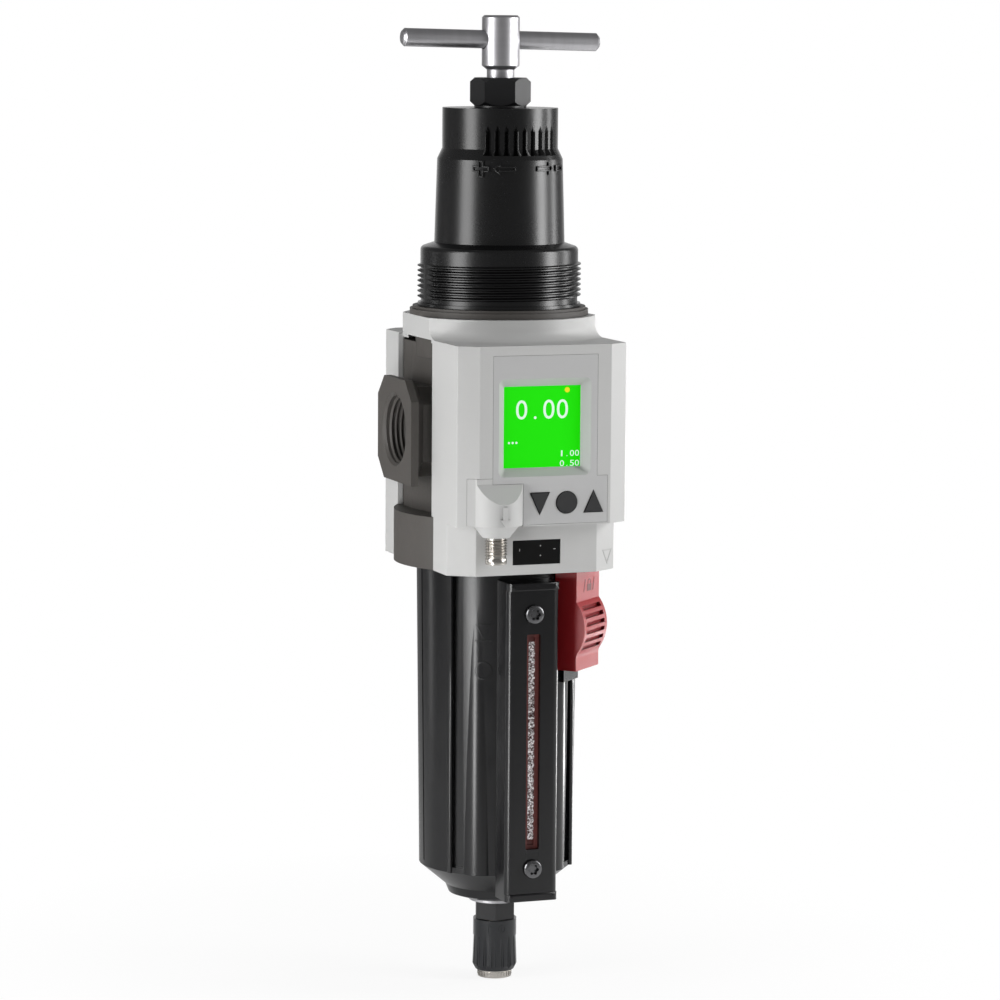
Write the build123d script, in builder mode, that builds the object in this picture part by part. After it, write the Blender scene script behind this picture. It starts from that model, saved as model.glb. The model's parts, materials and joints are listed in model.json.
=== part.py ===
from build123d import *
from math import cos, pi, radians, sin, sqrt
import os

# Filter regulator for compressed air with a digital pressure display.
# +Z is up. Air goes in at -X and out at +X. The display faces -Y.
# The origin is the crossing of the line of the two ports with the vertical axis.
# An azimuth is an angle about Z, counted from the front (-Y) towards +X.

# Clearances
moving_gap = 0.3
running_gap = 0.05
seat_gap = 0.1

# Ports, thread G3/4, at the size that is tapped
port_spacing = 80.0
port_thread_radius = 12.3
port_thread_depth = 16.0
port_mouth_chamfer = 1.0
passage_radius = 10.5
flange_width = 38.0
flange_height = 37.5
flange_chamfer = 7.2
flange_thickness = 2.8
flange_bevel = 2.5

# Core of the body casting
core_half_width = 30.5
core_slant_start_y = 8.0
core_side_rear_y = 17.5
core_slant_front_x = 26.0
core_slant_front_y = -18.0
core_front_half_width = 22.0
core_front_y = -27.0
core_rear_half_width = 26.0
core_rear_y = 30.0
neck_radius = 30.4
rim_radius = 32.5
rim_height = 3.0
rim_step = 1.0
bonnet_bore_radius = 27.6

# Flow chambers of the body casting
wall_between_ports = 4.0
inlet_slot_depth = 10.0
inlet_slot_width = 14.0
valve_chamber_radius = 11.0
seat_radius = 6.5
seat_thickness = 4.0
diaphragm_ledge_z = 34.0
diaphragm_chamber_radius = 20.0
diaphragm_chamber_depth = 7.0
sensing_hole_radius = 1.2
sensing_hole_offset = 9.0
gauge_port_radius = 4.8
gauge_port_depth = 9.0

# Bowl socket of the body casting
skirt_radius = 38.0
skirt_top_z = -30.0
skirt_bottom_z = -49.0
socket_roof_z = -31.0
socket_bore_radius = 30.0
socket_bore_depth = 9.0
lug_bore_radius = 34.0
lug_height = 3.2
lug_count = 4
lug_span = 30.0
lug_clearance = 0.7

# Covers
cover_half_width = 32.0
cover_wall = 2.0
cover_bottom_z = -49.1
deck_z = 33.6
deck_thickness = 1.5
window_corner_radius = 1.3
collar_radius = 35.2
collar_height = 7.7
collar_fillet = 4.0
collar_roof = 2.2
pod_bottom_z = -30.6
pod_front_y = -49.6
pod_chamfer = 7.2
pod_chamfer_depth = 4.1
lower_front_y = -41.2
lower_chamfer = 9.0
lower_chamfer_depth = 6.1
rear_back_y = 39.6
rear_chamfer = 5.6
window_front_y = -18.6
window_rear_y = 19.5
seam_y = 16.2
cover_edge_radius = 0.6

# Display module
panel_left_x = -19.8
panel_right_x = 19.6
panel_top_z = 30.1
panel_step_z = -13.25
panel_foot_right_x = 23.6
panel_foot_left_x = -8.2
panel_foot_top_z = -15.3
panel_bottom_z = -30.0
module_depth = 18.0
module_inset = 1.7
panel_thickness = 2.4
screen_size = 29.0
screen_centre_x = -0.3
screen_centre_z = 4.5
bezel_size = 34.8
bezel_depth = 3.0
screen_thickness = 1.0
button_row_z = -22.5
button_centre_x = 8.1
button_pitch = 10.2
button_diameter = 7.6
triangle_width = 6.8
triangle_height = 7.3
button_proud = 0.4
button_length = 3.4
button_travel = 0.6
spigot_radius = 3.4
seal_section_radius = 0.7

# Connector housing and its M8 connector
block_left_x = -28.7
connector_x = -17.2
connector_y = -46.0
boss_radius = 9.3
boss_top_z = -13.25
boss_bottom_z = -30.0
scoop_back_z = -15.2
scoop_front_z = -22.6
cone_height = 4.4
connector_root_radius = 3.5
connector_shoulder_radius = 4.2
connector_length = 9.7
connector_wall = 0.75
connector_insert_recess = 5.0
pin_radius = 0.5
pin_circle_radius = 1.5
pin_count = 4

# Black plate on the lower front
plate_width = 18.0
plate_top_z = -36.8
plate_bottom_z = -45.5
plate_thickness = 1.2
plate_recess = 0.2

# Bonnet
band_height = 1.2
band_radius = 29.6
panel_thread_root_radius = 28.5
panel_thread_length = 13.9
top_flange_radius = 28.7
top_flange_height = 6.2
top_flange_round = 1.6
cone_foot_height = 1.7
cone_foot_radius = 23.7
cone_top_radius = 22.8
cone_top_z = 97.6
shoulder_height = 3.8
cap_radius = 21.0
cap_height = 14.6
bonnet_wall = 3.2
roof_thickness = 17.0
notch_pitch = 9.2
notch_count = 9
notch_middle_azimuth = 5.0
notch_depth = 1.3
notch_height = 10.3
notch_tip_height = 2.5

# Adjusting screw, lock nut and T-bar
screw_radius = 5.0
screw_neck = 2.85
screw_pitch = 1.5
screw_down_travel = 2.7
hub_radius = 6.85
hub_cone_height = 1.45
hub_height = 18.1
hub_edge = 0.8
bar_radius = 3.3
bar_length = 75.4
bar_below_top = 8.8
bar_end_chamfer = 1.0
bar_hole_gap = 0.2
bar_lean = 1.2
nut_across_flats = 19.1
nut_height = 10.7
nut_face_azimuth = -21.0
nut_chamfer = 1.6
nut_washer_radius = 9.5
nut_washer_height = 0.6

# Spring train
screw_up_travel = 12.0
rest_radius = 15.5
rest_thickness = 3.2
rest_cup_depth = 1.6
range_spring_radius = 12.6
range_spring_wire = 1.7
range_spring_turns = 5.0
plate_disc_radius = 15.5
plate_disc_thickness = 3.0
plate_boss_radius = 5.0
plate_boss_height = 5.0
diaphragm_thickness = 1.6
diaphragm_roll_depth = 1.6
stem_radius = 2.4
stem_guide_height = 3.0
poppet_radius = 8.6
poppet_thickness = 4.0
valve_travel = 2.5
valve_spring_radius = 5.0
valve_spring_wire = 0.55
valve_spring_turns = 4.0
guide_thickness = 3.0
guide_spokes = 4
guide_spoke_width = 2.5
lower_stem_length = 14.0

# Filter
deflector_inner_radius = 13.0
deflector_outer_radius = 24.0
deflector_ring_width = 1.6
deflector_height = 5.0
vane_count = 12
vane_thickness = 1.0
vane_angle = 35.0
element_radius = 17.0
element_bore_radius = 12.0
element_length = 48.0
baffle_radius = 20.0
baffle_thickness = 3.0
baffle_skirt_height = 5.0
stud_radius = 2.5
stud_nut_height = 5.0

# Bowl
bowl_top_radius = 29.6
bowl_bottom_radius = 28.2
bowl_wall = 3.6
bowl_straight_bottom_z = -161.5
bowl_cone_radius = 18.6
bowl_cone_height = 8.0
bowl_foot_radius = 17.3
bowl_foot_height = 3.2
bowl_end_radius = 11.4
bowl_end_height = 2.0
bowl_floor_thickness = 3.6
bowl_mouth_gap = 1.5
seal_groove_drop = 3.0
bowl_seal_radius = 1.3
rib_azimuth = 34.2
rib_radius = 7.6
rib_proud = 1.2
recess_azimuth = 49.1
recess_width = 5.0
recess_depth = 1.5
ridge_azimuth = 55.7
ridge_radius = 1.0
side_line_azimuth = 88.0
side_line_width = 0.9

# Sight glass and its cover
sight_cover_width = 20.0
sight_cover_front_y = -39.2
sight_cover_top_z = -52.6
sight_cover_bottom_z = -168.8
sight_cover_wall = 1.9
sight_cover_edge = 1.6
lip_height = 2.8
lip_proud = 0.7
sight_slot_width = 5.2
sight_slot_top_z = -71.2
sight_slot_bottom_z = -149.8
sight_boss_width = 15.6
sight_boss_y = -34.8
gasket_width = 8.4
gasket_margin = 3.0
prism_width = 2.4
prism_tooth_pitch = 2.9
prism_tooth_depth = 1.1
prism_body_depth = 1.2
prism_top_margin = 2.6
cover_screw_top_z = -63.9
cover_screw_bottom_z = -156.9
cover_screw_head_radius = 3.4
cover_screw_head_height = 2.3
cover_screw_socket_radius = 1.85
cover_screw_socket_depth = 1.6
cover_screw_shank_radius = 1.9
cover_screw_shank_length = 6.0
screw_post_radius = 3.7

# Lock slide
lock_azimuth = 43.5
lock_width = 19.0
lock_thickness = 6.5
lock_top_z = -50.4
lock_bottom_z = -86.6
lock_bulge = 3.4
lock_bulge_z = -71.0
lock_bulge_half_height = 9.6
lock_bulge_blend = 4.0
lock_travel = 5.0
lock_edge = 0.7
finger_rib_count = 6
finger_rib_pitch = 2.9
finger_groove_height = 1.5
finger_groove_depth = 1.3
finger_groove_width = 15.0
pad_face_radius = 30.4
pad_half_width = 6.0
pad_undercut = 0.7
pad_end_drop = 5.0
pad_root_radius = 26.0
tooth_half_width = 4.0
tooth_height = 4.0
tooth_inner_radius = 34.5
tooth_outer_radius = 37.3
lug_stop_half_width = 1.4
lug_stop_height = 2.0
lug_stop_rise = 1.5
lock_spring_radius = 1.15
lock_spring_wire = 0.22
lock_spring_turns = 8.0
lock_spring_length = 15.5

# Drain
drain_washer_radius = 9.6
drain_washer_thickness = 1.3
drain_nut_across_flats = 14.0
drain_nut_height = 6.8
drain_nut_azimuth = 12.0
knob_ring_radius = 8.0
knob_ring_height = 6.3
knob_top_radius = 7.8
knob_low_radius = 8.2
knob_flute_height = 10.8
knob_end_height = 2.0
knob_end_radius = 7.2
flute_count = 16
flute_radius = 0.9
flute_depth = 0.6
drain_stem_radius = 5.0
drain_neck_radius = 6.0
drain_bore_radius = 2.2
drain_flange_radius = 9.0
drain_flange_thickness = 2.0
drain_seal_thickness = 1.0
tail_radius = 6.2
tail_height = 4.0
tail_shown = 2.8

# Levels and places worked out from the sizes above
port_face_x = port_spacing / 2
collar_top_z = deck_z + collar_height
rim_bottom_z = collar_top_z + seat_gap
rim_top_z = rim_bottom_z + rim_height
core_top_z = deck_z - cover_wall - moving_gap
core_bottom_z = skirt_top_z - 1.0
chamber_floor_z = diaphragm_ledge_z - diaphragm_chamber_depth
seat_top_z = -passage_radius
seat_bottom_z = seat_top_z - seat_thickness
inlet_end_x = -(valve_chamber_radius + 2.0)
thread_bottom_z = rim_top_z + band_height
thread_top_z = thread_bottom_z + panel_thread_length
flange_top_z = thread_top_z + top_flange_height
cap_bottom_z = cone_top_z + shoulder_height
cap_top_z = cap_bottom_z + cap_height
bonnet_foot_z = diaphragm_ledge_z + diaphragm_thickness
roof_z = cap_top_z - roof_thickness
nut_bottom_z = cap_top_z + seat_gap
nut_top_z = nut_bottom_z + nut_height
hub_bottom_z = nut_top_z + screw_neck
hub_top_z = hub_bottom_z + hub_cone_height + hub_height
bar_z = hub_top_z - bar_below_top
rest_top_z = roof_z - screw_up_travel - moving_gap
rest_bottom_z = rest_top_z - rest_thickness
plate_bottom_z_rest = diaphragm_ledge_z + diaphragm_thickness
disc_top_z = plate_bottom_z_rest + plate_disc_thickness
poppet_top_z = seat_bottom_z - seat_gap
poppet_bottom_z = poppet_top_z - poppet_thickness
guide_top_z = socket_roof_z + guide_thickness
lug_under_z = skirt_bottom_z + lug_height + 0.4
screen_front_y = pod_front_y + bezel_depth
bowl_top_z = socket_roof_z - bowl_mouth_gap
seal_groove_z = bowl_top_z - seal_groove_drop
cone_end_z = bowl_straight_bottom_z - bowl_cone_height
foot_end_z = cone_end_z - bowl_foot_height
bowl_end_z = foot_end_z - bowl_end_height
bowl_floor_z = bowl_end_z + bowl_floor_thickness
drain_washer_bottom_z = bowl_end_z - drain_washer_thickness
drain_nut_bottom_z = drain_washer_bottom_z - drain_nut_height
knob_top_z = drain_nut_bottom_z - moving_gap
knob_ring_bottom_z = knob_top_z - knob_ring_height
knob_flute_bottom_z = knob_ring_bottom_z - knob_flute_height
knob_bottom_z = knob_flute_bottom_z - knob_end_height
tail_bottom_z = knob_bottom_z - tail_shown
tail_top_z = tail_bottom_z + tail_height
inner_cover_y = sight_cover_front_y + sight_cover_wall
element_top_z = socket_roof_z - deflector_height
element_bottom_z = element_top_z - element_length
lock_face_radius = pad_face_radius + lock_thickness
lock_back_radius = pad_root_radius - 2


def upright_plane(azimuth):
    """Plane through the vertical axis: local x is outward at the azimuth, local y is up."""
    turn = radians(azimuth)
    return Plane(origin=(0, 0, 0), x_dir=(sin(turn), -cos(turn), 0), z_dir=(-cos(turn), -sin(turn), 0))


def facing_plane(azimuth, distance):
    """Plane square to the azimuth at a distance from the axis: local x is to the right, y is up."""
    turn = radians(azimuth)
    outward = Vector(sin(turn), -cos(turn), 0)
    return Plane(origin=outward * distance, x_dir=(cos(turn), sin(turn), 0), z_dir=outward)


def turned(outline):
    """Piece turned about the vertical axis from half its section, as (radius, height) points."""
    with BuildPart() as piece:
        with BuildSketch(Plane.XZ):
            with BuildLine():
                Polyline(*outline, close=True)
            make_face()
        revolve(axis=Axis.Z)
    return piece


def coil(radius, wire, turns, bottom_z, top_z, centre=(0, 0)):
    """Round-wire spring that stands between two levels."""
    height = top_z - bottom_z - 2 * wire
    with BuildPart() as spring:
        with BuildLine() as path:
            Helix(pitch=height / turns, height=height, radius=radius,
                  center=(centre[0], centre[1], bottom_z + wire))
        with BuildSketch(Plane(origin=path.line @ 0, z_dir=path.line % 0)):
            RegularPolygon(radius=wire, side_count=8)
        sweep(is_frenet=True)
    return spring


def ring_sector(inner, outer, low_z, high_z, azimuth, span):
    """Part of a ring, centred on an azimuth."""
    with BuildPart() as sector:
        with BuildSketch(upright_plane(azimuth - span / 2)):
            with Locations(((inner + outer) / 2, (low_z + high_z) / 2)):
                Rectangle(outer - inner, high_z - low_z)
        revolve(axis=Axis.Z, revolution_arc=span)
    return sector.part


def cover_outline(front_y, chamfer_width, chamfer_depth, rear_y):
    """Half-open outline of the front cover in plan, as points from the middle to the left rear."""
    return [
        (0, front_y),
        (-(cover_half_width - chamfer_width), front_y),
        (-cover_half_width, front_y + chamfer_depth),
        (-cover_half_width, rear_y),
        (0, rear_y),
    ]


def window_top(side):
    """Outline of the top of a side window, which reaches up to the collar, beside the neck."""
    with BuildSketch(Plane.YZ.offset(side * neck_radius)) as shape:
        with Locations(((window_front_y + window_rear_y) / 2, deck_z - deck_thickness)):
            Rectangle(window_rear_y - window_front_y, 2 * deck_thickness)
        fillet(shape.vertices().group_by(Axis.Y)[-1], window_corner_radius)
    return shape.sketch


# Body casting: core, bowl skirt, neck and rim
with BuildPart() as body_casting:
    with BuildSketch(Plane.XY.offset(core_bottom_z)):
        with BuildLine():
            Polyline(
                (0, core_front_y),
                (-core_front_half_width, core_front_y),
                (-core_slant_front_x, core_slant_front_y),
                (-core_half_width, core_slant_start_y),
                (-core_half_width, core_side_rear_y),
                (-core_rear_half_width, core_rear_y),
                (0, core_rear_y),
            )
            mirror(about=Plane.YZ)
        make_face()
    extrude(amount=core_top_z - core_bottom_z)
    with BuildSketch(Plane.XZ):
        with BuildLine():
            Polyline(
                (0, core_top_z - 5),
                (neck_radius, core_top_z - 5),
                (neck_radius, rim_bottom_z),
                (rim_radius, rim_bottom_z),
                (rim_radius, rim_top_z - rim_step),
                (rim_radius - rim_step, rim_top_z - rim_step),
                (rim_radius - rim_step, rim_top_z),
                (0, rim_top_z),
                close=True,
            )
        make_face()
    revolve(axis=Axis.Z)
    with BuildSketch(Plane.XY.offset(skirt_bottom_z)):
        Circle(skirt_radius)
    extrude(amount=skirt_top_z - skirt_bottom_z)

    # Port flanges with a bevelled groove behind them
    for side in (-1, 1):
        with BuildSketch(Plane.YZ.offset(side * port_face_x)):
            with BuildLine():
                Polyline(
                    (-flange_width / 2, -flange_height / 2),
                    (-flange_width / 2, flange_height / 2 - flange_chamfer),
                    (-flange_width / 2 + flange_chamfer, flange_height / 2),
                    (flange_width / 2 - flange_chamfer, flange_height / 2),
                    (flange_width / 2, flange_height / 2 - flange_chamfer),
                    (flange_width / 2, -flange_height / 2 + flange_chamfer),
                    (flange_width / 2 - flange_chamfer, -flange_height / 2),
                    close=True,
                )
            make_face()
        extrude(amount=-side * flange_thickness)
        flange_back = Plane.YZ.offset(side * (port_face_x - flange_thickness))
        with BuildSketch(flange_back):
            Rectangle(flange_width, flange_height)
            chamfer(vertices(), flange_chamfer)
        with BuildSketch(flange_back.offset(-side * flange_bevel)):
            Rectangle(flange_width - 2 * flange_bevel, flange_height - 2 * flange_bevel)
            chamfer(vertices(), flange_chamfer - flange_bevel / 2)
        loft()
        with BuildSketch(flange_back.offset(-side * flange_bevel)):
            Rectangle(flange_width - 2 * flange_bevel, flange_height - 2 * flange_bevel)
            chamfer(vertices(), flange_chamfer - flange_bevel / 2)
        extrude(amount=-side * (port_face_x - flange_thickness - flange_bevel - core_slant_front_x + 2))

    # Ports and the passages behind them
    for side in (-1, 1):
        with BuildSketch(Plane.YZ.offset(side * port_face_x)):
            Circle(port_thread_radius)
        extrude(amount=-side * port_thread_depth, mode=Mode.SUBTRACT)
        with BuildSketch(Plane.YZ.offset(side * port_face_x)):
            Circle(port_thread_radius + port_mouth_chamfer)
        extrude(amount=-side * port_mouth_chamfer, taper=45, mode=Mode.SUBTRACT)
    with BuildSketch(Plane.YZ.offset(-port_face_x)):
        Circle(passage_radius)
    extrude(amount=port_face_x + inlet_end_x, mode=Mode.SUBTRACT)
    with BuildSketch(Plane.YZ.offset(port_face_x)):
        Circle(passage_radius)
    extrude(amount=-(port_face_x - inlet_end_x - wall_between_ports), mode=Mode.SUBTRACT)
    with BuildSketch(Plane.XY):
        with Locations((inlet_end_x - inlet_slot_depth / 2, 0)):
            Rectangle(inlet_slot_depth, inlet_slot_width)
    extrude(amount=socket_roof_z, mode=Mode.SUBTRACT)

    # Valve chamber, seat, stem bore, diaphragm chamber and bonnet bore, in one turned cut
    with BuildSketch(Plane.XZ):
        with BuildLine():
            Polyline(
                (0, socket_roof_z),
                (valve_chamber_radius, socket_roof_z),
                (valve_chamber_radius, seat_bottom_z),
                (seat_radius, seat_bottom_z),
                (seat_radius, 0),
                (stem_radius + running_gap, 0),
                (stem_radius + running_gap, chamber_floor_z),
                (diaphragm_chamber_radius, chamber_floor_z),
                (diaphragm_chamber_radius, diaphragm_ledge_z),
                (bonnet_bore_radius, diaphragm_ledge_z),
                (bonnet_bore_radius, rim_top_z + 1),
                (0, rim_top_z + 1),
                close=True,
            )
        make_face()
    revolve(axis=Axis.Z, mode=Mode.SUBTRACT)
    with BuildSketch(Plane.XY.offset(chamber_floor_z)):
        with Locations((sensing_hole_offset, 0)):
            Circle(sensing_hole_radius)
    extrude(amount=-chamber_floor_z, mode=Mode.SUBTRACT)
    with BuildSketch(Plane.XZ.offset(-core_front_y)):
        with Locations((0, screen_centre_z)):
            Circle(gauge_port_radius)
    extrude(amount=-gauge_port_depth, mode=Mode.SUBTRACT)

    # Bowl socket with its bayonet lugs and the notch for the lock
    with BuildSketch(Plane.XZ):
        with BuildLine():
            Polyline(
                (0, socket_roof_z),
                (socket_bore_radius, socket_roof_z),
                (socket_bore_radius, socket_roof_z - socket_bore_depth),
                (lug_bore_radius, socket_roof_z - socket_bore_depth),
                (lug_bore_radius, skirt_bottom_z - 1),
                (0, skirt_bottom_z - 1),
                close=True,
            )
        make_face()
    revolve(axis=Axis.Z, mode=Mode.SUBTRACT)
    for number in range(lug_count):
        add(ring_sector(
            bowl_top_radius + lug_clearance, lug_bore_radius + 1,
            skirt_bottom_z + 0.4, lug_under_z, number * 360 / lug_count, lug_span))
    with BuildSketch(facing_plane(lock_azimuth, lug_bore_radius - 2)):
        with Locations((0, skirt_bottom_z)):
            Rectangle(2 * (tooth_half_width + moving_gap), 2 * (tooth_height - 1 + moving_gap))
    extrude(amount=skirt_radius - lug_bore_radius + 4, mode=Mode.SUBTRACT)
body_casting.part.label = "body_casting"


# Outline of the display panel on the front face, as (x, z) points
panel_points = [
    (panel_left_x, panel_top_z),
    (panel_right_x, panel_top_z),
    (panel_right_x, panel_step_z),
    (panel_foot_right_x, panel_step_z),
    (panel_foot_right_x, panel_bottom_z),
    (panel_foot_left_x, panel_bottom_z),
    (panel_foot_left_x, panel_foot_top_z),
    (panel_left_x, panel_foot_top_z),
]
boss_right_x = panel_foot_left_x - seat_gap
boss_outer_y = connector_y - boss_radius
boss_back_y = lower_front_y - seat_gap - 0.4

# Front cover: pod round the display, lower front and the collar round the rim
with BuildPart() as front_cover:
    with BuildSketch(Plane.XY.offset(cover_bottom_z)):
        with BuildLine():
            Polyline(*cover_outline(lower_front_y, lower_chamfer, lower_chamfer_depth, window_front_y))
            mirror(about=Plane.YZ)
        make_face()
    extrude(amount=pod_bottom_z - cover_bottom_z)
    with BuildSketch(Plane.XY.offset(pod_bottom_z)):
        with BuildLine():
            Polyline(*cover_outline(pod_front_y, pod_chamfer, pod_chamfer_depth, window_front_y))
            mirror(about=Plane.YZ)
        make_face()
    extrude(amount=deck_z - pod_bottom_z)
    upright_edges = front_cover.edges().filter_by(Axis.Z).filter_by(
        lambda edge: edge.center().Y < window_front_y - 1)
    fillet(upright_edges, cover_edge_radius)
    with BuildSketch(Plane.XY.offset(deck_z - deck_thickness)):
        with Locations((0, (window_front_y + collar_radius) / 2)):
            Rectangle(2 * cover_half_width, collar_radius - window_front_y)
    extrude(amount=deck_thickness)
    with BuildSketch(Plane.XY.offset(deck_z)):
        Circle(collar_radius)
        Rectangle(2 * cover_half_width, 2 * collar_radius, mode=Mode.INTERSECT)
    extrude(amount=collar_height)
    collar_foot = front_cover.edges().filter_by(GeomType.CIRCLE).filter_by(
        lambda edge: abs(edge.center().Z - deck_z) < 0.01 and edge.length > collar_radius and edge.center().Y < 0)
    fillet(collar_foot, collar_fillet)
    split(bisect_by=Plane.XZ.offset(-seam_y), keep=Keep.TOP)
    for side in (-1, 1):
        extrude(window_top(side), amount=side * (cover_half_width - neck_radius + 1), mode=Mode.SUBTRACT)

    # Hollow of the lower front and of the pod
    with BuildSketch(Plane.XY.offset(cover_bottom_z - 1)):
        with BuildLine():
            Polyline(*cover_outline(lower_front_y, lower_chamfer, lower_chamfer_depth, window_front_y + cover_wall + 1))
            mirror(about=Plane.YZ)
        make_face()
        offset(amount=-cover_wall, kind=Kind.INTERSECTION)
    extrude(amount=pod_bottom_z + 2 * cover_wall - cover_bottom_z + 1, mode=Mode.SUBTRACT)
    with BuildSketch(Plane.XY.offset(pod_bottom_z + cover_wall)):
        with BuildLine():
            Polyline(*cover_outline(pod_front_y, pod_chamfer, pod_chamfer_depth, window_front_y + cover_wall + 1))
            mirror(about=Plane.YZ)
        make_face()
        offset(amount=-cover_wall, kind=Kind.INTERSECTION)
    extrude(amount=deck_z - pod_bottom_z - 2 * cover_wall, mode=Mode.SUBTRACT)

    # Room for the neck, with a roof left on the collar
    with BuildSketch(Plane.XY.offset(deck_z - cover_wall - 1)):
        Circle(neck_radius + moving_gap)
    extrude(amount=collar_height + cover_wall + 2, mode=Mode.SUBTRACT)
    with BuildSketch(Plane.XY.offset(deck_z - cover_wall - 1)):
        Circle(collar_radius - collar_roof)
        Rectangle(2 * (neck_radius + moving_gap), 2 * collar_radius, mode=Mode.INTERSECT)
    extrude(amount=collar_height + cover_wall + 1 - collar_roof, mode=Mode.SUBTRACT)

    # Room for the bowl skirt
    with BuildSketch(Plane.XY.offset(cover_bottom_z - 1)):
        Circle(skirt_radius + seat_gap)
    extrude(amount=skirt_top_z + seat_gap - cover_bottom_z + 1, mode=Mode.SUBTRACT)

    # Openings for the display panel, the connector housing and the black plate
    with BuildSketch(Plane.XZ.offset(-pod_front_y - cover_wall - 1)):
        with BuildLine():
            Polyline(*panel_points, close=True)
        make_face()
        offset(amount=seat_gap, kind=Kind.INTERSECTION)
    extrude(amount=cover_wall + 2, mode=Mode.SUBTRACT)
    with BuildSketch(Plane.XY.offset(boss_bottom_z - cone_height)):
        with Locations(((block_left_x + boss_right_x) / 2, pod_front_y)):
            Rectangle(
                boss_right_x - block_left_x + 2 * seat_gap,
                2 * (boss_back_y + seat_gap - pod_front_y))
    extrude(amount=boss_top_z + seat_gap - boss_bottom_z + cone_height, mode=Mode.SUBTRACT)
    with BuildSketch(Plane.XZ.offset(-lower_front_y)):
        with Locations((0, (plate_top_z + plate_bottom_z) / 2)):
            Rectangle(plate_width + 2 * seat_gap, plate_top_z - plate_bottom_z + 2 * seat_gap)
    extrude(amount=-(plate_thickness + plate_recess), mode=Mode.SUBTRACT)
front_cover.part.label = "front_cover"

# Rear cover
with BuildPart() as rear_cover:
    with BuildSketch(Plane.XY.offset(cover_bottom_z)):
        with BuildLine():
            Polyline(
                (0, window_rear_y),
                (-cover_half_width, window_rear_y),
                (-cover_half_width, rear_back_y - rear_chamfer),
                (-(cover_half_width - rear_chamfer), rear_back_y),
                (0, rear_back_y),
            )
            mirror(about=Plane.YZ)
        make_face()
    extrude(amount=deck_z - cover_bottom_z)
    rear_edges = rear_cover.edges().filter_by(Axis.Z).filter_by(lambda edge: edge.center().Y > window_rear_y + 1)
    fillet(rear_edges, cover_edge_radius)
    with BuildSketch(Plane.XY.offset(deck_z - deck_thickness)):
        with Locations((0, (window_rear_y + seam_y) / 2 + 1)):
            Rectangle(2 * cover_half_width, window_rear_y - seam_y + 2)
    extrude(amount=deck_thickness)
    with BuildSketch(Plane.XY.offset(deck_z - deck_thickness)):
        Circle(collar_radius)
        Rectangle(2 * cover_half_width, 2 * collar_radius, mode=Mode.INTERSECT)
    extrude(amount=collar_height + deck_thickness)
    split(bisect_by=Plane.XZ.offset(-(seam_y + seat_gap)), keep=Keep.BOTTOM)
    for side in (-1, 1):
        extrude(window_top(side), amount=side * (cover_half_width - neck_radius + 1), mode=Mode.SUBTRACT)
    with BuildSketch(Plane.XY.offset(cover_bottom_z - 1)):
        with BuildLine():
            Polyline(
                (0, window_rear_y - cover_wall - 1),
                (-cover_half_width, window_rear_y - cover_wall - 1),
                (-cover_half_width, rear_back_y - rear_chamfer),
                (-(cover_half_width - rear_chamfer), rear_back_y),
                (0, rear_back_y),
            )
            mirror(about=Plane.YZ)
        make_face()
        offset(amount=-cover_wall, kind=Kind.INTERSECTION)
    extrude(amount=deck_z - cover_wall - cover_bottom_z + 1, mode=Mode.SUBTRACT)
    with BuildSketch(Plane.XY.offset(deck_z - cover_wall - 1)):
        Circle(neck_radius + moving_gap)
    extrude(amount=collar_height + cover_wall + 2, mode=Mode.SUBTRACT)
    with BuildSketch(Plane.XY.offset(deck_z - cover_wall - 1)):
        Circle(collar_radius - collar_roof)
        Rectangle(2 * (neck_radius + moving_gap), 2 * collar_radius, mode=Mode.INTERSECT)
    extrude(amount=collar_height + cover_wall + 1 - collar_roof, mode=Mode.SUBTRACT)
    with BuildSketch(Plane.XY.offset(cover_bottom_z - 1)):
        Circle(skirt_radius + seat_gap)
    extrude(amount=skirt_top_z + seat_gap - cover_bottom_z + 1, mode=Mode.SUBTRACT)
rear_cover.part.label = "rear_cover"

# Display module: panel with the tapered bezel, housing behind it and the sensor spigot
button_places = [
    (button_centre_x - button_pitch, button_row_z),
    (button_centre_x, button_row_z),
    (button_centre_x + button_pitch, button_row_z),
]


def button_sketch(number, y, grow):
    """Outline of one button on the panel: 0 points down, 1 is round and 2 points up."""
    with BuildSketch(Plane.XZ.offset(-y)) as shape:
        with Locations(button_places[number]):
            if number == 1:
                Circle(button_diameter / 2 + grow)
            else:
                flip = 1 if number == 2 else -1
                Polygon(
                    (-triangle_width / 2, -flip * triangle_height / 2),
                    (triangle_width / 2, -flip * triangle_height / 2),
                    (0, flip * triangle_height / 2),
                    align=None,
                )
                if grow:
                    offset(amount=grow, kind=Kind.INTERSECTION)
    return shape.sketch


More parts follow.
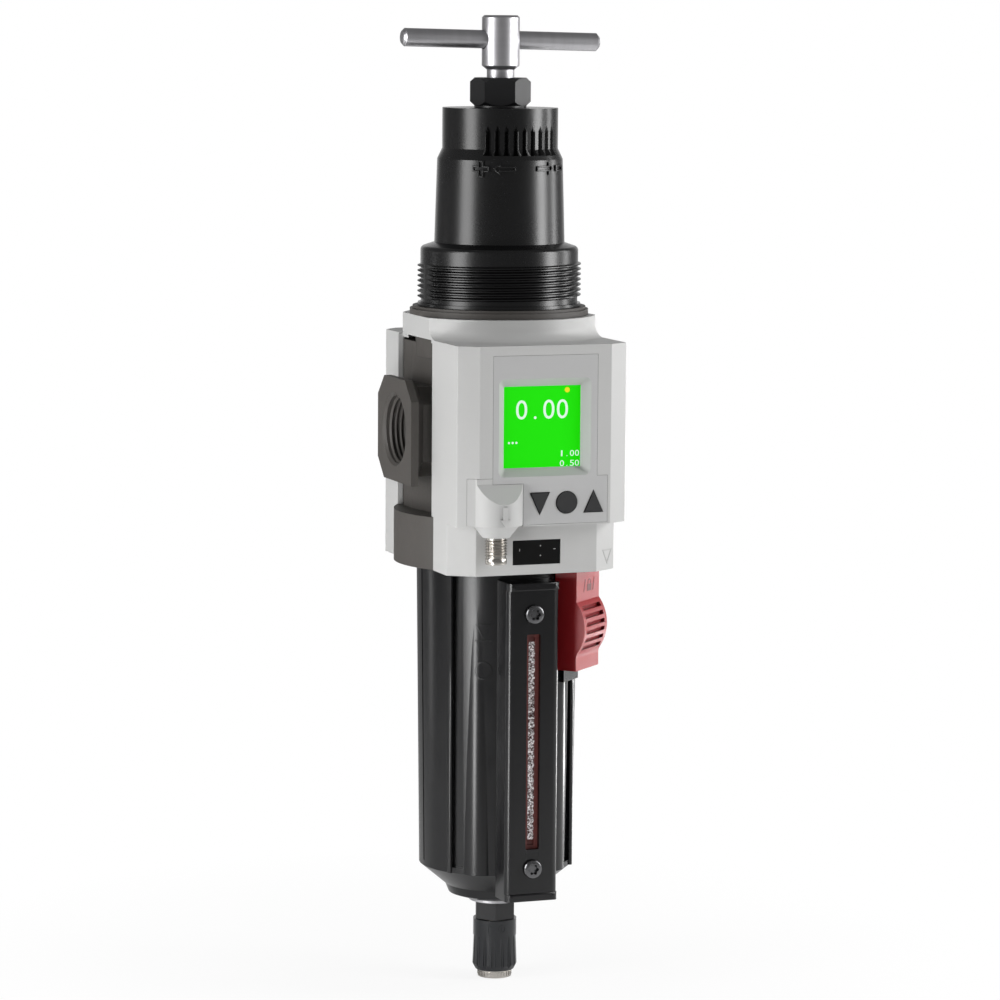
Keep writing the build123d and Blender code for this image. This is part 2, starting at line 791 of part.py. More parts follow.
with BuildPart() as display_module:
    with BuildSketch(Plane.XZ.offset(-pod_front_y)):
        with BuildLine():
            Polyline(*panel_points, close=True)
        make_face()
    extrude(amount=-panel_thickness)
    with BuildSketch(Plane.XZ.offset(-pod_front_y)):
        with BuildLine():
            Polyline(*panel_points, close=True)
        make_face()
        offset(amount=-module_inset, kind=Kind.INTERSECTION)
    extrude(amount=-module_depth)
    with BuildSketch(Plane.XZ.offset(-pod_front_y)):
        with Locations((screen_centre_x, screen_centre_z)):
            RectangleRounded(bezel_size, bezel_size, 2.0)
    with BuildSketch(Plane.XZ.offset(-screen_front_y)):
        with Locations((screen_centre_x, screen_centre_z)):
            RectangleRounded(screen_size, screen_size, 0.6)
    loft(mode=Mode.SUBTRACT)
    with BuildSketch(Plane.XZ.offset(-screen_front_y + 0.5)):
        with Locations((screen_centre_x, screen_centre_z)):
            Rectangle(screen_size, screen_size)
    extrude(amount=-(screen_thickness + 0.5), mode=Mode.SUBTRACT)
    for number in range(3):
        extrude(
            button_sketch(number, pod_front_y - 1, moving_gap),
            amount=-(button_length - button_proud + button_travel + moving_gap + 1),
            mode=Mode.SUBTRACT)
    with BuildSketch(Plane.XZ.offset(-pod_front_y - module_depth)):
        with Locations((0, screen_centre_z)):
            Circle(spigot_radius)
    extrude(amount=-(core_front_y + gauge_port_depth - pod_front_y - module_depth - 1))
display_module.part.label = "display_module"

with BuildPart() as display_screen:
    with BuildSketch(Plane.XZ.offset(-screen_front_y)):
        with Locations((screen_centre_x, screen_centre_z)):
            Rectangle(screen_size, screen_size)
    extrude(amount=-screen_thickness)
display_screen.part.label = "display_screen"

buttons = {}
for number, button_name in enumerate(["button_down", "button_set", "button_up"]):
    with BuildPart() as button:
        extrude(button_sketch(number, pod_front_y - button_proud, 0), amount=-button_length)
    button.part.label = button_name
    buttons[button_name] = button.part

# Round seal on the spigot, inside the gauge port
with BuildPart() as sensor_seal:
    with BuildSketch(Plane.YZ):
        with Locations((core_front_y + gauge_port_depth / 2, screen_centre_z + spigot_radius + seal_section_radius)):
            Circle(seal_section_radius)
    revolve(axis=Axis((0, 0, screen_centre_z), (0, 1, 0)))
sensor_seal.part.label = "sensor_seal"

# Connector housing: block in the corner of the pod, half-round boss with a slanted top, and a cone below
block_side_y = pod_front_y + pod_chamfer_depth * (cover_half_width - pod_chamfer + block_left_x) / -pod_chamfer
with BuildPart() as connector_housing:
    with BuildSketch(Plane.XY.offset(boss_bottom_z)) as boss_plan:
        with Locations((connector_x, connector_y)):
            Circle(boss_radius)
        with BuildLine():
            Polyline(
                (block_left_x, boss_back_y),
                (block_left_x, block_side_y),
                (-(cover_half_width - pod_chamfer), pod_front_y),
                (boss_right_x, pod_front_y),
                (boss_right_x, boss_back_y),
                close=True,
            )
        make_face()
        with Locations((boss_right_x + boss_radius, connector_y)):
            Rectangle(2 * boss_radius, 4 * boss_radius, mode=Mode.SUBTRACT)
        with Locations((connector_x, boss_back_y + boss_radius)):
            Rectangle(4 * boss_radius, 2 * boss_radius, mode=Mode.SUBTRACT)
    extrude(amount=boss_top_z - boss_bottom_z)
    with BuildSketch(Plane.YZ.offset(block_left_x - 1)):
        with BuildLine():
            Polyline(
                (pod_front_y, boss_top_z + 1),
                (pod_front_y, scoop_back_z),
                (boss_outer_y - 0.5, scoop_front_z),
                (boss_outer_y - 0.5, boss_top_z + 1),
                close=True,
            )
        make_face()
    extrude(amount=boss_right_x - block_left_x + 2, mode=Mode.SUBTRACT)
    with BuildSketch(Plane.XZ.offset(-boss_outer_y + 1)):
        with BuildLine():
            Polyline(*panel_points, close=True)
        make_face()
        offset(amount=seat_gap, kind=Kind.INTERSECTION)
    extrude(amount=boss_outer_y - boss_back_y - 2, mode=Mode.SUBTRACT)
    with BuildSketch(Plane.XY.offset(boss_bottom_z)):
        with Locations((connector_x, connector_y)):
            Circle(boss_radius - 0.9)
    extrude(amount=-cone_height, taper=38)
    split(bisect_by=Plane.XZ.offset(-boss_back_y), keep=Keep.TOP)
    with BuildSketch(Plane.XY.offset(boss_bottom_z - cone_height)):
        with Locations((connector_x, connector_y)):
            Circle(connector_shoulder_radius + seat_gap)
    extrude(amount=2 * cone_height, mode=Mode.SUBTRACT)
connector_housing.part.label = "connector_housing"

# Male cable connector, without its fine thread, with a shoulder inside the housing
connector_top_z = boss_bottom_z + cone_height - 0.5
connector_shoulder_z = boss_bottom_z - cone_height
connector_bottom_z = connector_shoulder_z - connector_length
with BuildPart() as m8_connector:
    with BuildSketch(Plane.XY.offset(connector_bottom_z)):
        with Locations((connector_x, connector_y)):
            Circle(connector_root_radius)
    extrude(amount=connector_length)
    with BuildSketch(Plane.XY.offset(connector_shoulder_z)):
        with Locations((connector_x, connector_y)):
            Circle(connector_shoulder_radius)
    extrude(amount=connector_top_z - connector_shoulder_z)
    with BuildSketch(Plane.XY.offset(connector_bottom_z)):
        with Locations((connector_x, connector_y)):
            Circle(connector_root_radius - connector_wall)
    extrude(amount=connector_top_z - connector_bottom_z, mode=Mode.SUBTRACT)
m8_connector.part.label = "m8_connector"

with BuildPart() as connector_insert:
    with BuildSketch(Plane.XY.offset(connector_bottom_z + connector_insert_recess)):
        with Locations((connector_x, connector_y)):
            Circle(connector_root_radius - connector_wall - seat_gap)
            with PolarLocations(pin_circle_radius, pin_count, 45):
                Circle(pin_radius + seat_gap / 2, mode=Mode.SUBTRACT)
    extrude(amount=connector_top_z - connector_bottom_z - connector_insert_recess)
connector_insert.part.label = "connector_insert"

with BuildPart() as connector_pins:
    with BuildSketch(Plane.XY.offset(connector_bottom_z + 1)):
        with Locations((connector_x, connector_y)):
            with PolarLocations(pin_circle_radius, pin_count, 45):
                Circle(pin_radius)
    extrude(amount=connector_top_z - connector_bottom_z - 2)
connector_pins.part.label = "connector_pins"

with BuildPart() as inset_plate:
    with BuildSketch(Plane.XZ.offset(-lower_front_y - plate_recess)):
        with Locations((0, (plate_top_z + plate_bottom_z) / 2)):
            Rectangle(plate_width, plate_top_z - plate_bottom_z)
    extrude(amount=-plate_thickness)
inset_plate.part.label = "inset_plate"

# Bonnet: panel thread at its root size, flange, tapered barrel and notched cap
with BuildPart() as bonnet:
    with BuildSketch(Plane.XZ) as bonnet_section:
        with BuildLine():
            Polyline(
                (bonnet_bore_radius - seat_gap - bonnet_wall, bonnet_foot_z),
                (bonnet_bore_radius - seat_gap, bonnet_foot_z),
                (bonnet_bore_radius - seat_gap, rim_top_z + seat_gap),
                (band_radius, rim_top_z + seat_gap),
                (band_radius, thread_bottom_z),
                (panel_thread_root_radius, thread_bottom_z),
                (panel_thread_root_radius, thread_top_z),
                (top_flange_radius, thread_top_z),
                (top_flange_radius, flange_top_z),
                (cone_foot_radius, flange_top_z + cone_foot_height),
                (cone_top_radius, cone_top_z),
                (cap_radius, cap_bottom_z),
                (cap_radius, cap_top_z),
                (screw_radius + running_gap, cap_top_z),
                (screw_radius + running_gap, roof_z),
                (cone_top_radius - bonnet_wall, roof_z),
                (cone_foot_radius - bonnet_wall, flange_top_z + cone_foot_height),
                close=True,
            )
        make_face()
        corners = bonnet_section.vertices()
        fillet(corners.sort_by_distance((top_flange_radius, flange_top_z))[0], top_flange_round)
        fillet(corners.sort_by_distance((cone_foot_radius, flange_top_z + cone_foot_height))[0], 2.0)
        fillet(corners.sort_by_distance((cap_radius, cap_top_z))[0], 1.0)
        fillet(corners.sort_by_distance((cone_top_radius, cone_top_z))[0], 1.2)
    revolve(axis=Axis.Z)

    # Vertical notches with pointed tops, in two groups that face each other
    notch_base = cone_top_z
    for group in (0, 180):
        for number in range(notch_count):
            azimuth = group + notch_middle_azimuth + (number - (notch_count - 1) / 2) * notch_pitch
            turn = radians(azimuth)
            outward = Vector(sin(turn), -cos(turn), 0)
            across = Vector(cos(turn), sin(turn), 0)
            half_width = (cap_radius + 1) * radians(notch_pitch) / 2
            outer = outward * (cap_radius + 1)
            apex = outward * (cap_radius - notch_depth)
            with BuildSketch(Plane.XY.offset(notch_base)):
                with BuildLine():
                    Polyline(outer - across * half_width, outer + across * half_width, apex, close=True)
                make_face()
            extrude(amount=notch_height, mode=Mode.SUBTRACT)
            with BuildSketch(Plane.XY.offset(notch_base + notch_height)):
                with BuildLine():
                    Polyline(outer - across * half_width, outer + across * half_width, apex, close=True)
                make_face()
            with BuildSketch(Plane.XY.offset(notch_base + notch_height + notch_tip_height)):
                with BuildLine():
                    Polyline(
                        outer - across * half_width * 0.3, outer + across * half_width * 0.3,
                        outward * (cap_radius + 0.3), close=True)
                make_face()
            loft(mode=Mode.SUBTRACT)
bonnet.part.label = "bonnet"

# Lock nut: hexagon with both ends chamfered and a round washer face
nut_corner_radius = nut_across_flats / 2 / cos(pi / 6)
with BuildPart() as lock_nut:
    with BuildSketch(Plane.XY.offset(nut_bottom_z)):
        RegularPolygon(radius=nut_across_flats / 2, side_count=6, major_radius=False,
                       rotation=nut_face_azimuth - 90 - 30)
    extrude(amount=nut_height)
    with BuildSketch(Plane.XZ):
        with BuildLine():
            Polyline(
                (screw_radius + running_gap, nut_bottom_z),
                (nut_washer_radius, nut_bottom_z),
                (nut_washer_radius, nut_bottom_z + nut_washer_height),
                (nut_corner_radius - nut_chamfer, nut_bottom_z + nut_washer_height),
                (nut_corner_radius + 0.1, nut_bottom_z + nut_washer_height + nut_chamfer),
                (nut_corner_radius + 0.1, nut_top_z - nut_chamfer),
                (nut_corner_radius - nut_chamfer, nut_top_z),
                (screw_radius + running_gap, nut_top_z),
                close=True,
            )
        make_face()
    revolve(axis=Axis.Z, mode=Mode.INTERSECT)
lock_nut.part.label = "lock_nut"

# Adjusting screw: hub, neck and threaded shank in one turned piece
with BuildPart() as adjusting_screw:
    with BuildSketch(Plane.XZ):
        with BuildLine():
            Polyline(
                (0, rest_top_z - rest_cup_depth + seat_gap),
                (screw_radius - 1.5, rest_top_z - rest_cup_depth + seat_gap),
                (screw_radius, rest_top_z - rest_cup_depth + seat_gap + 1.5),
                (screw_radius, hub_bottom_z),
                (hub_radius, hub_bottom_z + hub_cone_height),
                (hub_radius, hub_top_z - hub_edge),
                (hub_radius - hub_edge, hub_top_z),
                (0, hub_top_z),
                close=True,
            )
        make_face()
    revolve(axis=Axis.Z)
    with BuildSketch(Plane.YZ.offset(-hub_radius - 1)):
        with Locations((0, bar_z)):
            Circle(bar_radius + bar_hole_gap)
    extrude(amount=2 * hub_radius + 2, mode=Mode.SUBTRACT)
adjusting_screw.part.label = "adjusting_screw"

# Bar that leans a little in its loose hole
with BuildPart() as t_bar:
    with BuildSketch(Plane(origin=(0, 0, bar_z), z_dir=(cos(radians(bar_lean)), 0, -sin(radians(bar_lean))))):
        Circle(bar_radius)
    extrude(amount=bar_length / 2, both=True)
    chamfer(t_bar.edges().filter_by(GeomType.CIRCLE), bar_end_chamfer)
t_bar.part.label = "t_bar"

# Spring train under the screw
spring_rest = turned([
    (0, rest_bottom_z),
    (range_spring_radius - range_spring_wire - 0.6, rest_bottom_z - 2),
    (range_spring_radius - range_spring_wire - 0.6, rest_bottom_z),
    (rest_radius, rest_bottom_z),
    (rest_radius, rest_top_z),
    (screw_radius + moving_gap, rest_top_z),
    (screw_radius + moving_gap, rest_top_z - rest_cup_depth),
    (0, rest_top_z - rest_cup_depth),
])
spring_rest.part.label = "spring_rest"

range_spring = coil(range_spring_radius, range_spring_wire, range_spring_turns, disc_top_z, rest_bottom_z)
range_spring.part.label = "range_spring"

diaphragm_plate = turned([
    (0, plate_bottom_z_rest),
    (plate_disc_radius, plate_bottom_z_rest),
    (plate_disc_radius, disc_top_z),
    (range_spring_radius - range_spring_wire - 0.6, disc_top_z),
    (range_spring_radius - range_spring_wire - 1.6, disc_top_z + 2),
    (0, disc_top_z + 2),
])
diaphragm_plate.part.label = "diaphragm_plate"

# Rubber sheet, clamped between the bonnet and the ledge of the body
roll_inner = plate_disc_radius + 0.8
roll_outer = diaphragm_chamber_radius + 0.6
with BuildPart() as diaphragm:
    with BuildSketch(Plane.XZ):
        with BuildLine():
            Polyline(
                (plate_boss_radius, diaphragm_ledge_z),
                (roll_inner, diaphragm_ledge_z),
                ((roll_inner + roll_outer) / 2, diaphragm_ledge_z + diaphragm_roll_depth),
                (roll_outer, diaphragm_ledge_z),
                (bonnet_bore_radius - seat_gap, diaphragm_ledge_z),
                (bonnet_bore_radius - seat_gap, bonnet_foot_z),
                (roll_outer, bonnet_foot_z),
                ((roll_inner + roll_outer) / 2, bonnet_foot_z + diaphragm_roll_depth),
                (roll_inner, bonnet_foot_z),
                (plate_boss_radius, bonnet_foot_z),
                close=True,
            )
        make_face()
    revolve(axis=Axis.Z)
diaphragm.part.label = "diaphragm"

# Poppet with its long stem, up to the diaphragm plate and down into the guide
valve_poppet = turned([
    (0, poppet_bottom_z - lower_stem_length),
    (stem_radius, poppet_bottom_z - lower_stem_length),
    (stem_radius, poppet_bottom_z),
    (poppet_radius, poppet_bottom_z),
    (poppet_radius, poppet_top_z),
    (stem_radius, poppet_top_z),
    (stem_radius, chamber_floor_z + 3.2),
    (plate_boss_radius - 0.4, chamber_floor_z + 3.2),
    (plate_boss_radius - 0.4, plate_bottom_z_rest - seat_gap / 2),
    (0, plate_bottom_z_rest - seat_gap / 2),
])
valve_poppet.part.label = "valve_poppet"

valve_spring = coil(valve_spring_radius, valve_spring_wire, valve_spring_turns, guide_top_z, poppet_bottom_z)
valve_spring.part.label = "valve_spring"

# Guide plug with spokes, at the bottom of the valve chamber
with BuildPart() as valve_guide:
    with BuildSketch(Plane.XY.offset(socket_roof_z)):
        Circle(valve_chamber_radius - seat_gap)
        Circle(valve_chamber_radius - seat_gap - 1.6, mode=Mode.SUBTRACT)
        Circle(valve_spring_radius + 1.2)
        with PolarLocations(valve_chamber_radius / 2, guide_spokes):
            Rectangle(valve_chamber_radius - 2, guide_spoke_width)
        Circle(stem_radius + running_gap, mode=Mode.SUBTRACT)
    extrude(amount=guide_thickness)
valve_guide.part.label = "valve_guide"

# Swirl deflector: two rings joined by slanted vanes, with a seat for the element
with BuildPart() as swirl_deflector:
    with BuildSketch(Plane.XY.offset(element_top_z)):
        Circle(deflector_inner_radius + deflector_ring_width)
        Circle(element_bore_radius - 2, mode=Mode.SUBTRACT)
    extrude(amount=deflector_height)
    with BuildSketch(Plane.XY.offset(element_top_z)):
        Circle(deflector_outer_radius)
        Circle(deflector_outer_radius - deflector_ring_width, mode=Mode.SUBTRACT)
    extrude(amount=deflector_height)
    for number in range(vane_count):
        azimuth = number * 360 / vane_count
        vane_middle = (deflector_inner_radius + deflector_outer_radius) / 2
        with BuildSketch(facing_plane(azimuth, deflector_inner_radius + 0.5)):
            with Locations(Location((0, element_top_z + deflector_height / 2, 0), vane_angle)):
                Rectangle(vane_thickness, deflector_height)
        extrude(amount=deflector_outer_radius - deflector_inner_radius - 1)
swirl_deflector.part.label = "swirl_deflector"

filter_element = turned([
    (element_bore_radius, element_bottom_z),
    (element_radius, element_bottom_z),
    (element_radius, element_top_z),
    (element_bore_radius, element_top_z),
])
filter_element.part.label = "filter_element"

# Baffle that closes the element and shields the sump
baffle = turned([
    (stud_radius + seat_gap, element_bottom_z),
    (baffle_radius, element_bottom_z),
    (baffle_radius + 1.5, element_bottom_z - baffle_thickness - baffle_skirt_height),
    (baffle_radius - 0.5, element_bottom_z - baffle_thickness - baffle_skirt_height),
    (baffle_radius - 2, element_bottom_z - baffle_thickness),
    (stud_radius + seat_gap, element_bottom_z - baffle_thickness),
])
baffle.part.label = "baffle"

# Stud that hangs from the deflector and carries the baffle on its head
stud_top_z = element_top_z + deflector_height - 1.5
stud_end_z = element_bottom_z - baffle_thickness - stud_nut_height
with BuildPart() as filter_stud:
    with BuildSketch(Plane.XY.offset(stud_end_z)):
        RegularPolygon(radius=5.0, side_count=6)
    extrude(amount=stud_nut_height)
    with BuildSketch(Plane.XY.offset(stud_end_z)):
        Circle(stud_radius)
    extrude(amount=element_top_z - stud_end_z)
    with BuildSketch(Plane.XY.offset(element_top_z - 1.6)):
        Circle(stud_radius + 1)
        with PolarLocations(element_bore_radius / 2, 3):
            Rectangle(element_bore_radius - 0.4, 2.4)
    extrude(amount=1.6)
filter_stud.part.label = "filter_stud"

# Bowl: one casting with the bayonet neck, outer ribs, sight boss, lock pad and drain foot
with BuildPart() as bowl:
    with BuildSketch(Plane.XZ):
        with BuildLine():
            Polyline(
                (0, bowl_end_z),
                (bowl_end_radius, bowl_end_z),
                (bowl_foot_radius, foot_end_z),
                (bowl_cone_radius, cone_end_z),
                (bowl_bottom_radius, bowl_straight_bottom_z),
                (bowl_top_radius, skirt_bottom_z),
                (bowl_top_radius, bowl_top_z),
                (0, bowl_top_z),
                close=True,
            )
        make_face()
    revolve(axis=Axis.Z)

    # Bayonet lugs that stand on the lugs of the socket
    for number in range(lug_count):
        add(ring_sector(
            bowl_top_radius - 1, lug_bore_radius - lug_clearance,
            lug_under_z + seat_gap, lug_under_z + seat_gap + lug_height,
            number * 360 / lug_count, lug_span - 2))

    # Round ribs beside the sight cover, recesses and ridges next to them
    for side in (-1, 1):
        rib_distance = bowl_bottom_radius + rib_proud - rib_radius
        rib_x = rib_distance * sin(radians(side * rib_azimuth))
        rib_y = -rib_distance * cos(radians(side * rib_azimuth))
        with BuildSketch(Plane.XY.offset(bowl_straight_bottom_z)):
            with Locations((rib_x, rib_y)):
                Circle(rib_radius)
        extrude(amount=skirt_bottom_z - bowl_straight_bottom_z - 1)
        with BuildSketch(facing_plane(side * recess_azimuth, bowl_bottom_radius - recess_depth)):
            with Locations((0, (skirt_bottom_z + bowl_straight_bottom_z) / 2)):
                Rectangle(recess_width, skirt_bottom_z - bowl_straight_bottom_z - 4)
        extrude(amount=10, mode=Mode.SUBTRACT)
        ridge_x = bowl_bottom_radius * sin(radians(side * ridge_azimuth))
        ridge_y = -bowl_bottom_radius * cos(radians(side * ridge_azimuth))
        with BuildSketch(Plane.XY.offset(bowl_straight_bottom_z)):
            with Locations((ridge_x, ridge_y)):
                Circle(ridge_radius)
        extrude(amount=skirt_bottom_z - bowl_straight_bottom_z - 2)
        with BuildSketch(facing_plane(side * side_line_azimuth, bowl_bottom_radius - 0.6)):
            with Locations((0, (skirt_bottom_z + bowl_straight_bottom_z) / 2)):
                Rectangle(side_line_width, skirt_bottom_z - bowl_straight_bottom_z - 4)
        extrude(amount=10, mode=Mode.SUBTRACT)

    # Flat boss behind the sight glass, with a post for each cover screw
    with BuildSketch(Plane.XZ.offset(-sight_boss_y)):
        with Locations((0, (cover_screw_top_z + cover_screw_bottom_z) / 2)):
            Rectangle(sight_boss_width, cover_screw_top_z - cover_screw_bottom_z + 2 * screw_post_radius)
    extrude(amount=-8)
    with BuildSketch(Plane.XZ.offset(-inner_cover_y - seat_gap)):
        with Locations((0, cover_screw_top_z), (0, cover_screw_bottom_z)):
            Circle(screw_post_radius)
    extrude(amount=-8)

    # Pad with undercut sides for the lock slide, and the stop that carries its spring
    pad_bottom_z = lock_bottom_z - pad_end_drop
    pad_plane = Plane.XY.offset(pad_bottom_z)
    turn = radians(lock_azimuth)
    outward = Vector(sin(turn), -cos(turn), 0)
    across = Vector(cos(turn), sin(turn), 0)
    with BuildSketch(pad_plane):
        with BuildLine():
            Polyline(
                outward * pad_root_radius + across * (pad_half_width - 2 * pad_undercut),
                outward * pad_face_radius + across * pad_half_width,
                outward * pad_face_radius - across * pad_half_width,
                outward * pad_root_radius - across * (pad_half_width - 2 * pad_undercut),
                close=True,
            )
        make_face()
    extrude(amount=lock_top_z - pad_bottom_z)
    stop_z = lock_bottom_z + lug_stop_rise
    with BuildSketch(facing_plane(lock_azimuth, pad_face_radius - 1)):
        with Locations((0, stop_z + lug_stop_height / 2)):
            Rectangle(2 * lug_stop_half_width, lug_stop_height)
    extrude(amount=3.6)

    # Hollow, seal groove, drain hole, screw holes and sight slot
    inner_top = bowl_top_radius - bowl_wall
    inner_bottom = bowl_bottom_radius - bowl_wall
    with BuildSketch(Plane.XZ):
        with BuildLine():
            Polyline(
                (0, bowl_floor_z),
                (drain_flange_radius + 1, bowl_floor_z),
                (bowl_cone_radius - bowl_wall, cone_end_z + 1),
                (inner_bottom, bowl_straight_bottom_z + 3),
                (inner_top, skirt_bottom_z),
                (inner_top, bowl_top_z + 1),
                (0, bowl_top_z + 1),
                close=True,
            )
        make_face()
    revolve(axis=Axis.Z, mode=Mode.SUBTRACT)
    groove_floor_radius = socket_bore_radius - 2 * bowl_seal_radius - seat_gap
    with BuildSketch(Plane.XZ):
        with Locations((bowl_top_radius, seal_groove_z)):
            Rectangle(2 * (bowl_top_radius - groove_floor_radius), 2 * (bowl_seal_radius + seat_gap))
    revolve(axis=Axis.Z, mode=Mode.SUBTRACT)
    with BuildSketch(Plane.XY.offset(bowl_end_z - 1)):
        Circle(drain_neck_radius + moving_gap)
    extrude(amount=bowl_floor_thickness + 2, mode=Mode.SUBTRACT)
    with BuildSketch(Plane.XZ.offset(-inner_cover_y)):
        with Locations((0, cover_screw_top_z), (0, cover_screw_bottom_z)):
            Circle(cover_screw_shank_radius + seat_gap)
    extrude(amount=-(cover_screw_shank_length + 0.5), mode=Mode.SUBTRACT)
    with BuildSketch(Plane.XZ.offset(-sight_boss_y)):
        with Locations((0, (sight_slot_top_z + sight_slot_bottom_z) / 2)):
            Rectangle(prism_width, sight_slot_top_z - sight_slot_bottom_z - 4)
    extrude(amount=-9, mode=Mode.SUBTRACT)
bowl.part.label = "bowl"

with BuildPart() as bowl_seal:
    with BuildSketch(Plane.XZ):
        with Locations((socket_bore_radius - bowl_seal_radius - seat_gap / 2, seal_groove_z)):
            Circle(bowl_seal_radius)
    revolve(axis=Axis.Z)
bowl_seal.part.label = "bowl_seal"

# Sight glass: red-brown gasket frame with a toothed prism in it
slot_middle_z = (sight_slot_top_z + sight_slot_bottom_z) / 2
slot_length = sight_slot_top_z - sight_slot_bottom_z
gasket_depth = sight_boss_y - inner_cover_y
with BuildPart() as sight_gasket:
    with BuildSketch(Plane.XZ.offset(-inner_cover_y)):
        with Locations((0, slot_middle_z)):
            Rectangle(gasket_width, slot_length + 2 * gasket_margin)
            Rectangle(prism_width + seat_gap, slot_length - prism_top_margin, mode=Mode.SUBTRACT)
    extrude(amount=-gasket_depth)
sight_gasket.part.label = "sight_gasket"

tooth_count = int((slot_length - prism_top_margin - 1) / prism_tooth_pitch)
prism_length = tooth_count * prism_tooth_pitch
prism_bottom_z = slot_middle_z - prism_length / 2
prism_root_y = inner_cover_y + prism_tooth_depth + seat_gap
prism_points = [(prism_root_y + prism_body_depth, prism_bottom_z), (prism_root_y, prism_bottom_z)]
for number in range(tooth_count):
    tooth_z = prism_bottom_z + number * prism_tooth_pitch
    prism_points.append((prism_root_y - prism_tooth_depth, tooth_z + prism_tooth_pitch / 2))
    prism_points.append((prism_root_y, tooth_z + prism_tooth_pitch))
prism_points.append((prism_root_y + prism_body_depth, prism_bottom_z + prism_length))
with BuildPart() as sight_prism:
    with BuildSketch(Plane.YZ.offset(-prism_width / 2)):
        with BuildLine():
            Polyline(*prism_points, close=True)
        make_face()
    extrude(amount=prism_width)
sight_prism.part.label = "sight_prism"

# Channel-shaped cover over the sight glass, with a lip at each end
with BuildPart() as sight_cover:
    with BuildSketch(Plane.XZ.offset(-sight_cover_front_y)):
        with Locations((0, (sight_cover_top_z + sight_cover_bottom_z) / 2)):
            Rectangle(sight_cover_width, sight_cover_top_z - sight_cover_bottom_z)
    extrude(amount=sight_cover_front_y + bowl_bottom_radius - 4)
    front_edges = sight_cover.edges().filter_by(Axis.Z).filter_by(
        lambda edge: edge.center().Y < sight_cover_front_y + 0.1)
    fillet(front_edges, sight_cover_edge)
    for lip_z in (sight_cover_top_z - lip_height / 2, sight_cover_bottom_z + lip_height / 2):
        with BuildSketch(Plane.XZ.offset(-sight_cover_front_y + lip_proud)) as lip_sketch:
            with Locations((0, lip_z)):
                Rectangle(sight_cover_width + 2 * lip_proud, lip_height)
        extrude(amount=sight_cover_front_y - lip_proud + bowl_bottom_radius - 4)
    lip_edges = sight_cover.edges().filter_by(
        lambda edge: edge.center().Y < sight_cover_front_y - lip_proud + 0.1)
    fillet(lip_edges, lip_proud - 0.1)

    # Hollow inside, open to the bowl
    with BuildSketch(Plane.XZ.offset(-inner_cover_y)):
        with Locations((0, (sight_cover_top_z + sight_cover_bottom_z) / 2)):
            Rectangle(
                sight_cover_width - 2 * sight_cover_wall,
                sight_cover_top_z - sight_cover_bottom_z - 2 * sight_cover_wall)
    extrude(amount=-12, mode=Mode.SUBTRACT)
    with BuildSketch(Plane.XY.offset(sight_cover_bottom_z - 1)):
        Circle(bowl_top_radius + seat_gap)
    extrude(amount=sight_cover_top_z - sight_cover_bottom_z + 2, mode=Mode.SUBTRACT)
    with BuildSketch(Plane.XY.offset(bowl_straight_bottom_z)):
        for side in (-1, 1):
            with Locations((side * rib_distance * sin(radians(rib_azimuth)),
                            -rib_distance * cos(radians(rib_azimuth)))):
                Circle(rib_radius + seat_gap)
    extrude(amount=sight_cover_top_z - bowl_straight_bottom_z + 1, mode=Mode.SUBTRACT)

    # Viewing slot and screw holes
    with BuildSketch(Plane.XZ.offset(-sight_cover_front_y + 1)):
        with Locations((0, slot_middle_z)):
            RectangleRounded(sight_slot_width, slot_length, 0.6)
        with Locations((0, cover_screw_top_z), (0, cover_screw_bottom_z)):
            Circle(cover_screw_shank_radius + seat_gap)
    extrude(amount=-(sight_cover_wall + 2), mode=Mode.SUBTRACT)
sight_cover.part.label = "sight_cover"

# Two cover screws with rounded heads and a hexagonal recess at the size of the six-lobe one
with BuildPart() as cover_screws:
    for screw_z in (cover_screw_top_z, cover_screw_bottom_z):
        with BuildSketch(Plane.XZ.offset(-sight_cover_front_y)):
            with Locations((0, screw_z)):
                Circle(cover_screw_head_radius)
        extrude(amount=cover_screw_head_height)
        head_edge = cover_screws.edges().filter_by(GeomType.CIRCLE).filter_by(
            lambda edge: abs(edge.center().Z - screw_z) < 0.1
            and edge.center().Y < sight_cover_front_y - cover_screw_head_height + 0.01)
        fillet(head_edge, 0.9)
        with BuildSketch(Plane.XZ.offset(-sight_cover_front_y)):
            with Locations((0, screw_z)):
                Circle(cover_screw_shank_radius)
        extrude(amount=-(cover_screw_shank_length + sight_cover_wall))
        with BuildSketch(Plane.XZ.offset(-sight_cover_front_y + cover_screw_head_height)):
            with Locations((0, screw_z)):
                RegularPolygon(radius=cover_screw_socket_radius, side_count=6)
        extrude(amount=-cover_screw_socket_depth, mode=Mode.SUBTRACT)
cover_screws.part.label = "cover_screws"

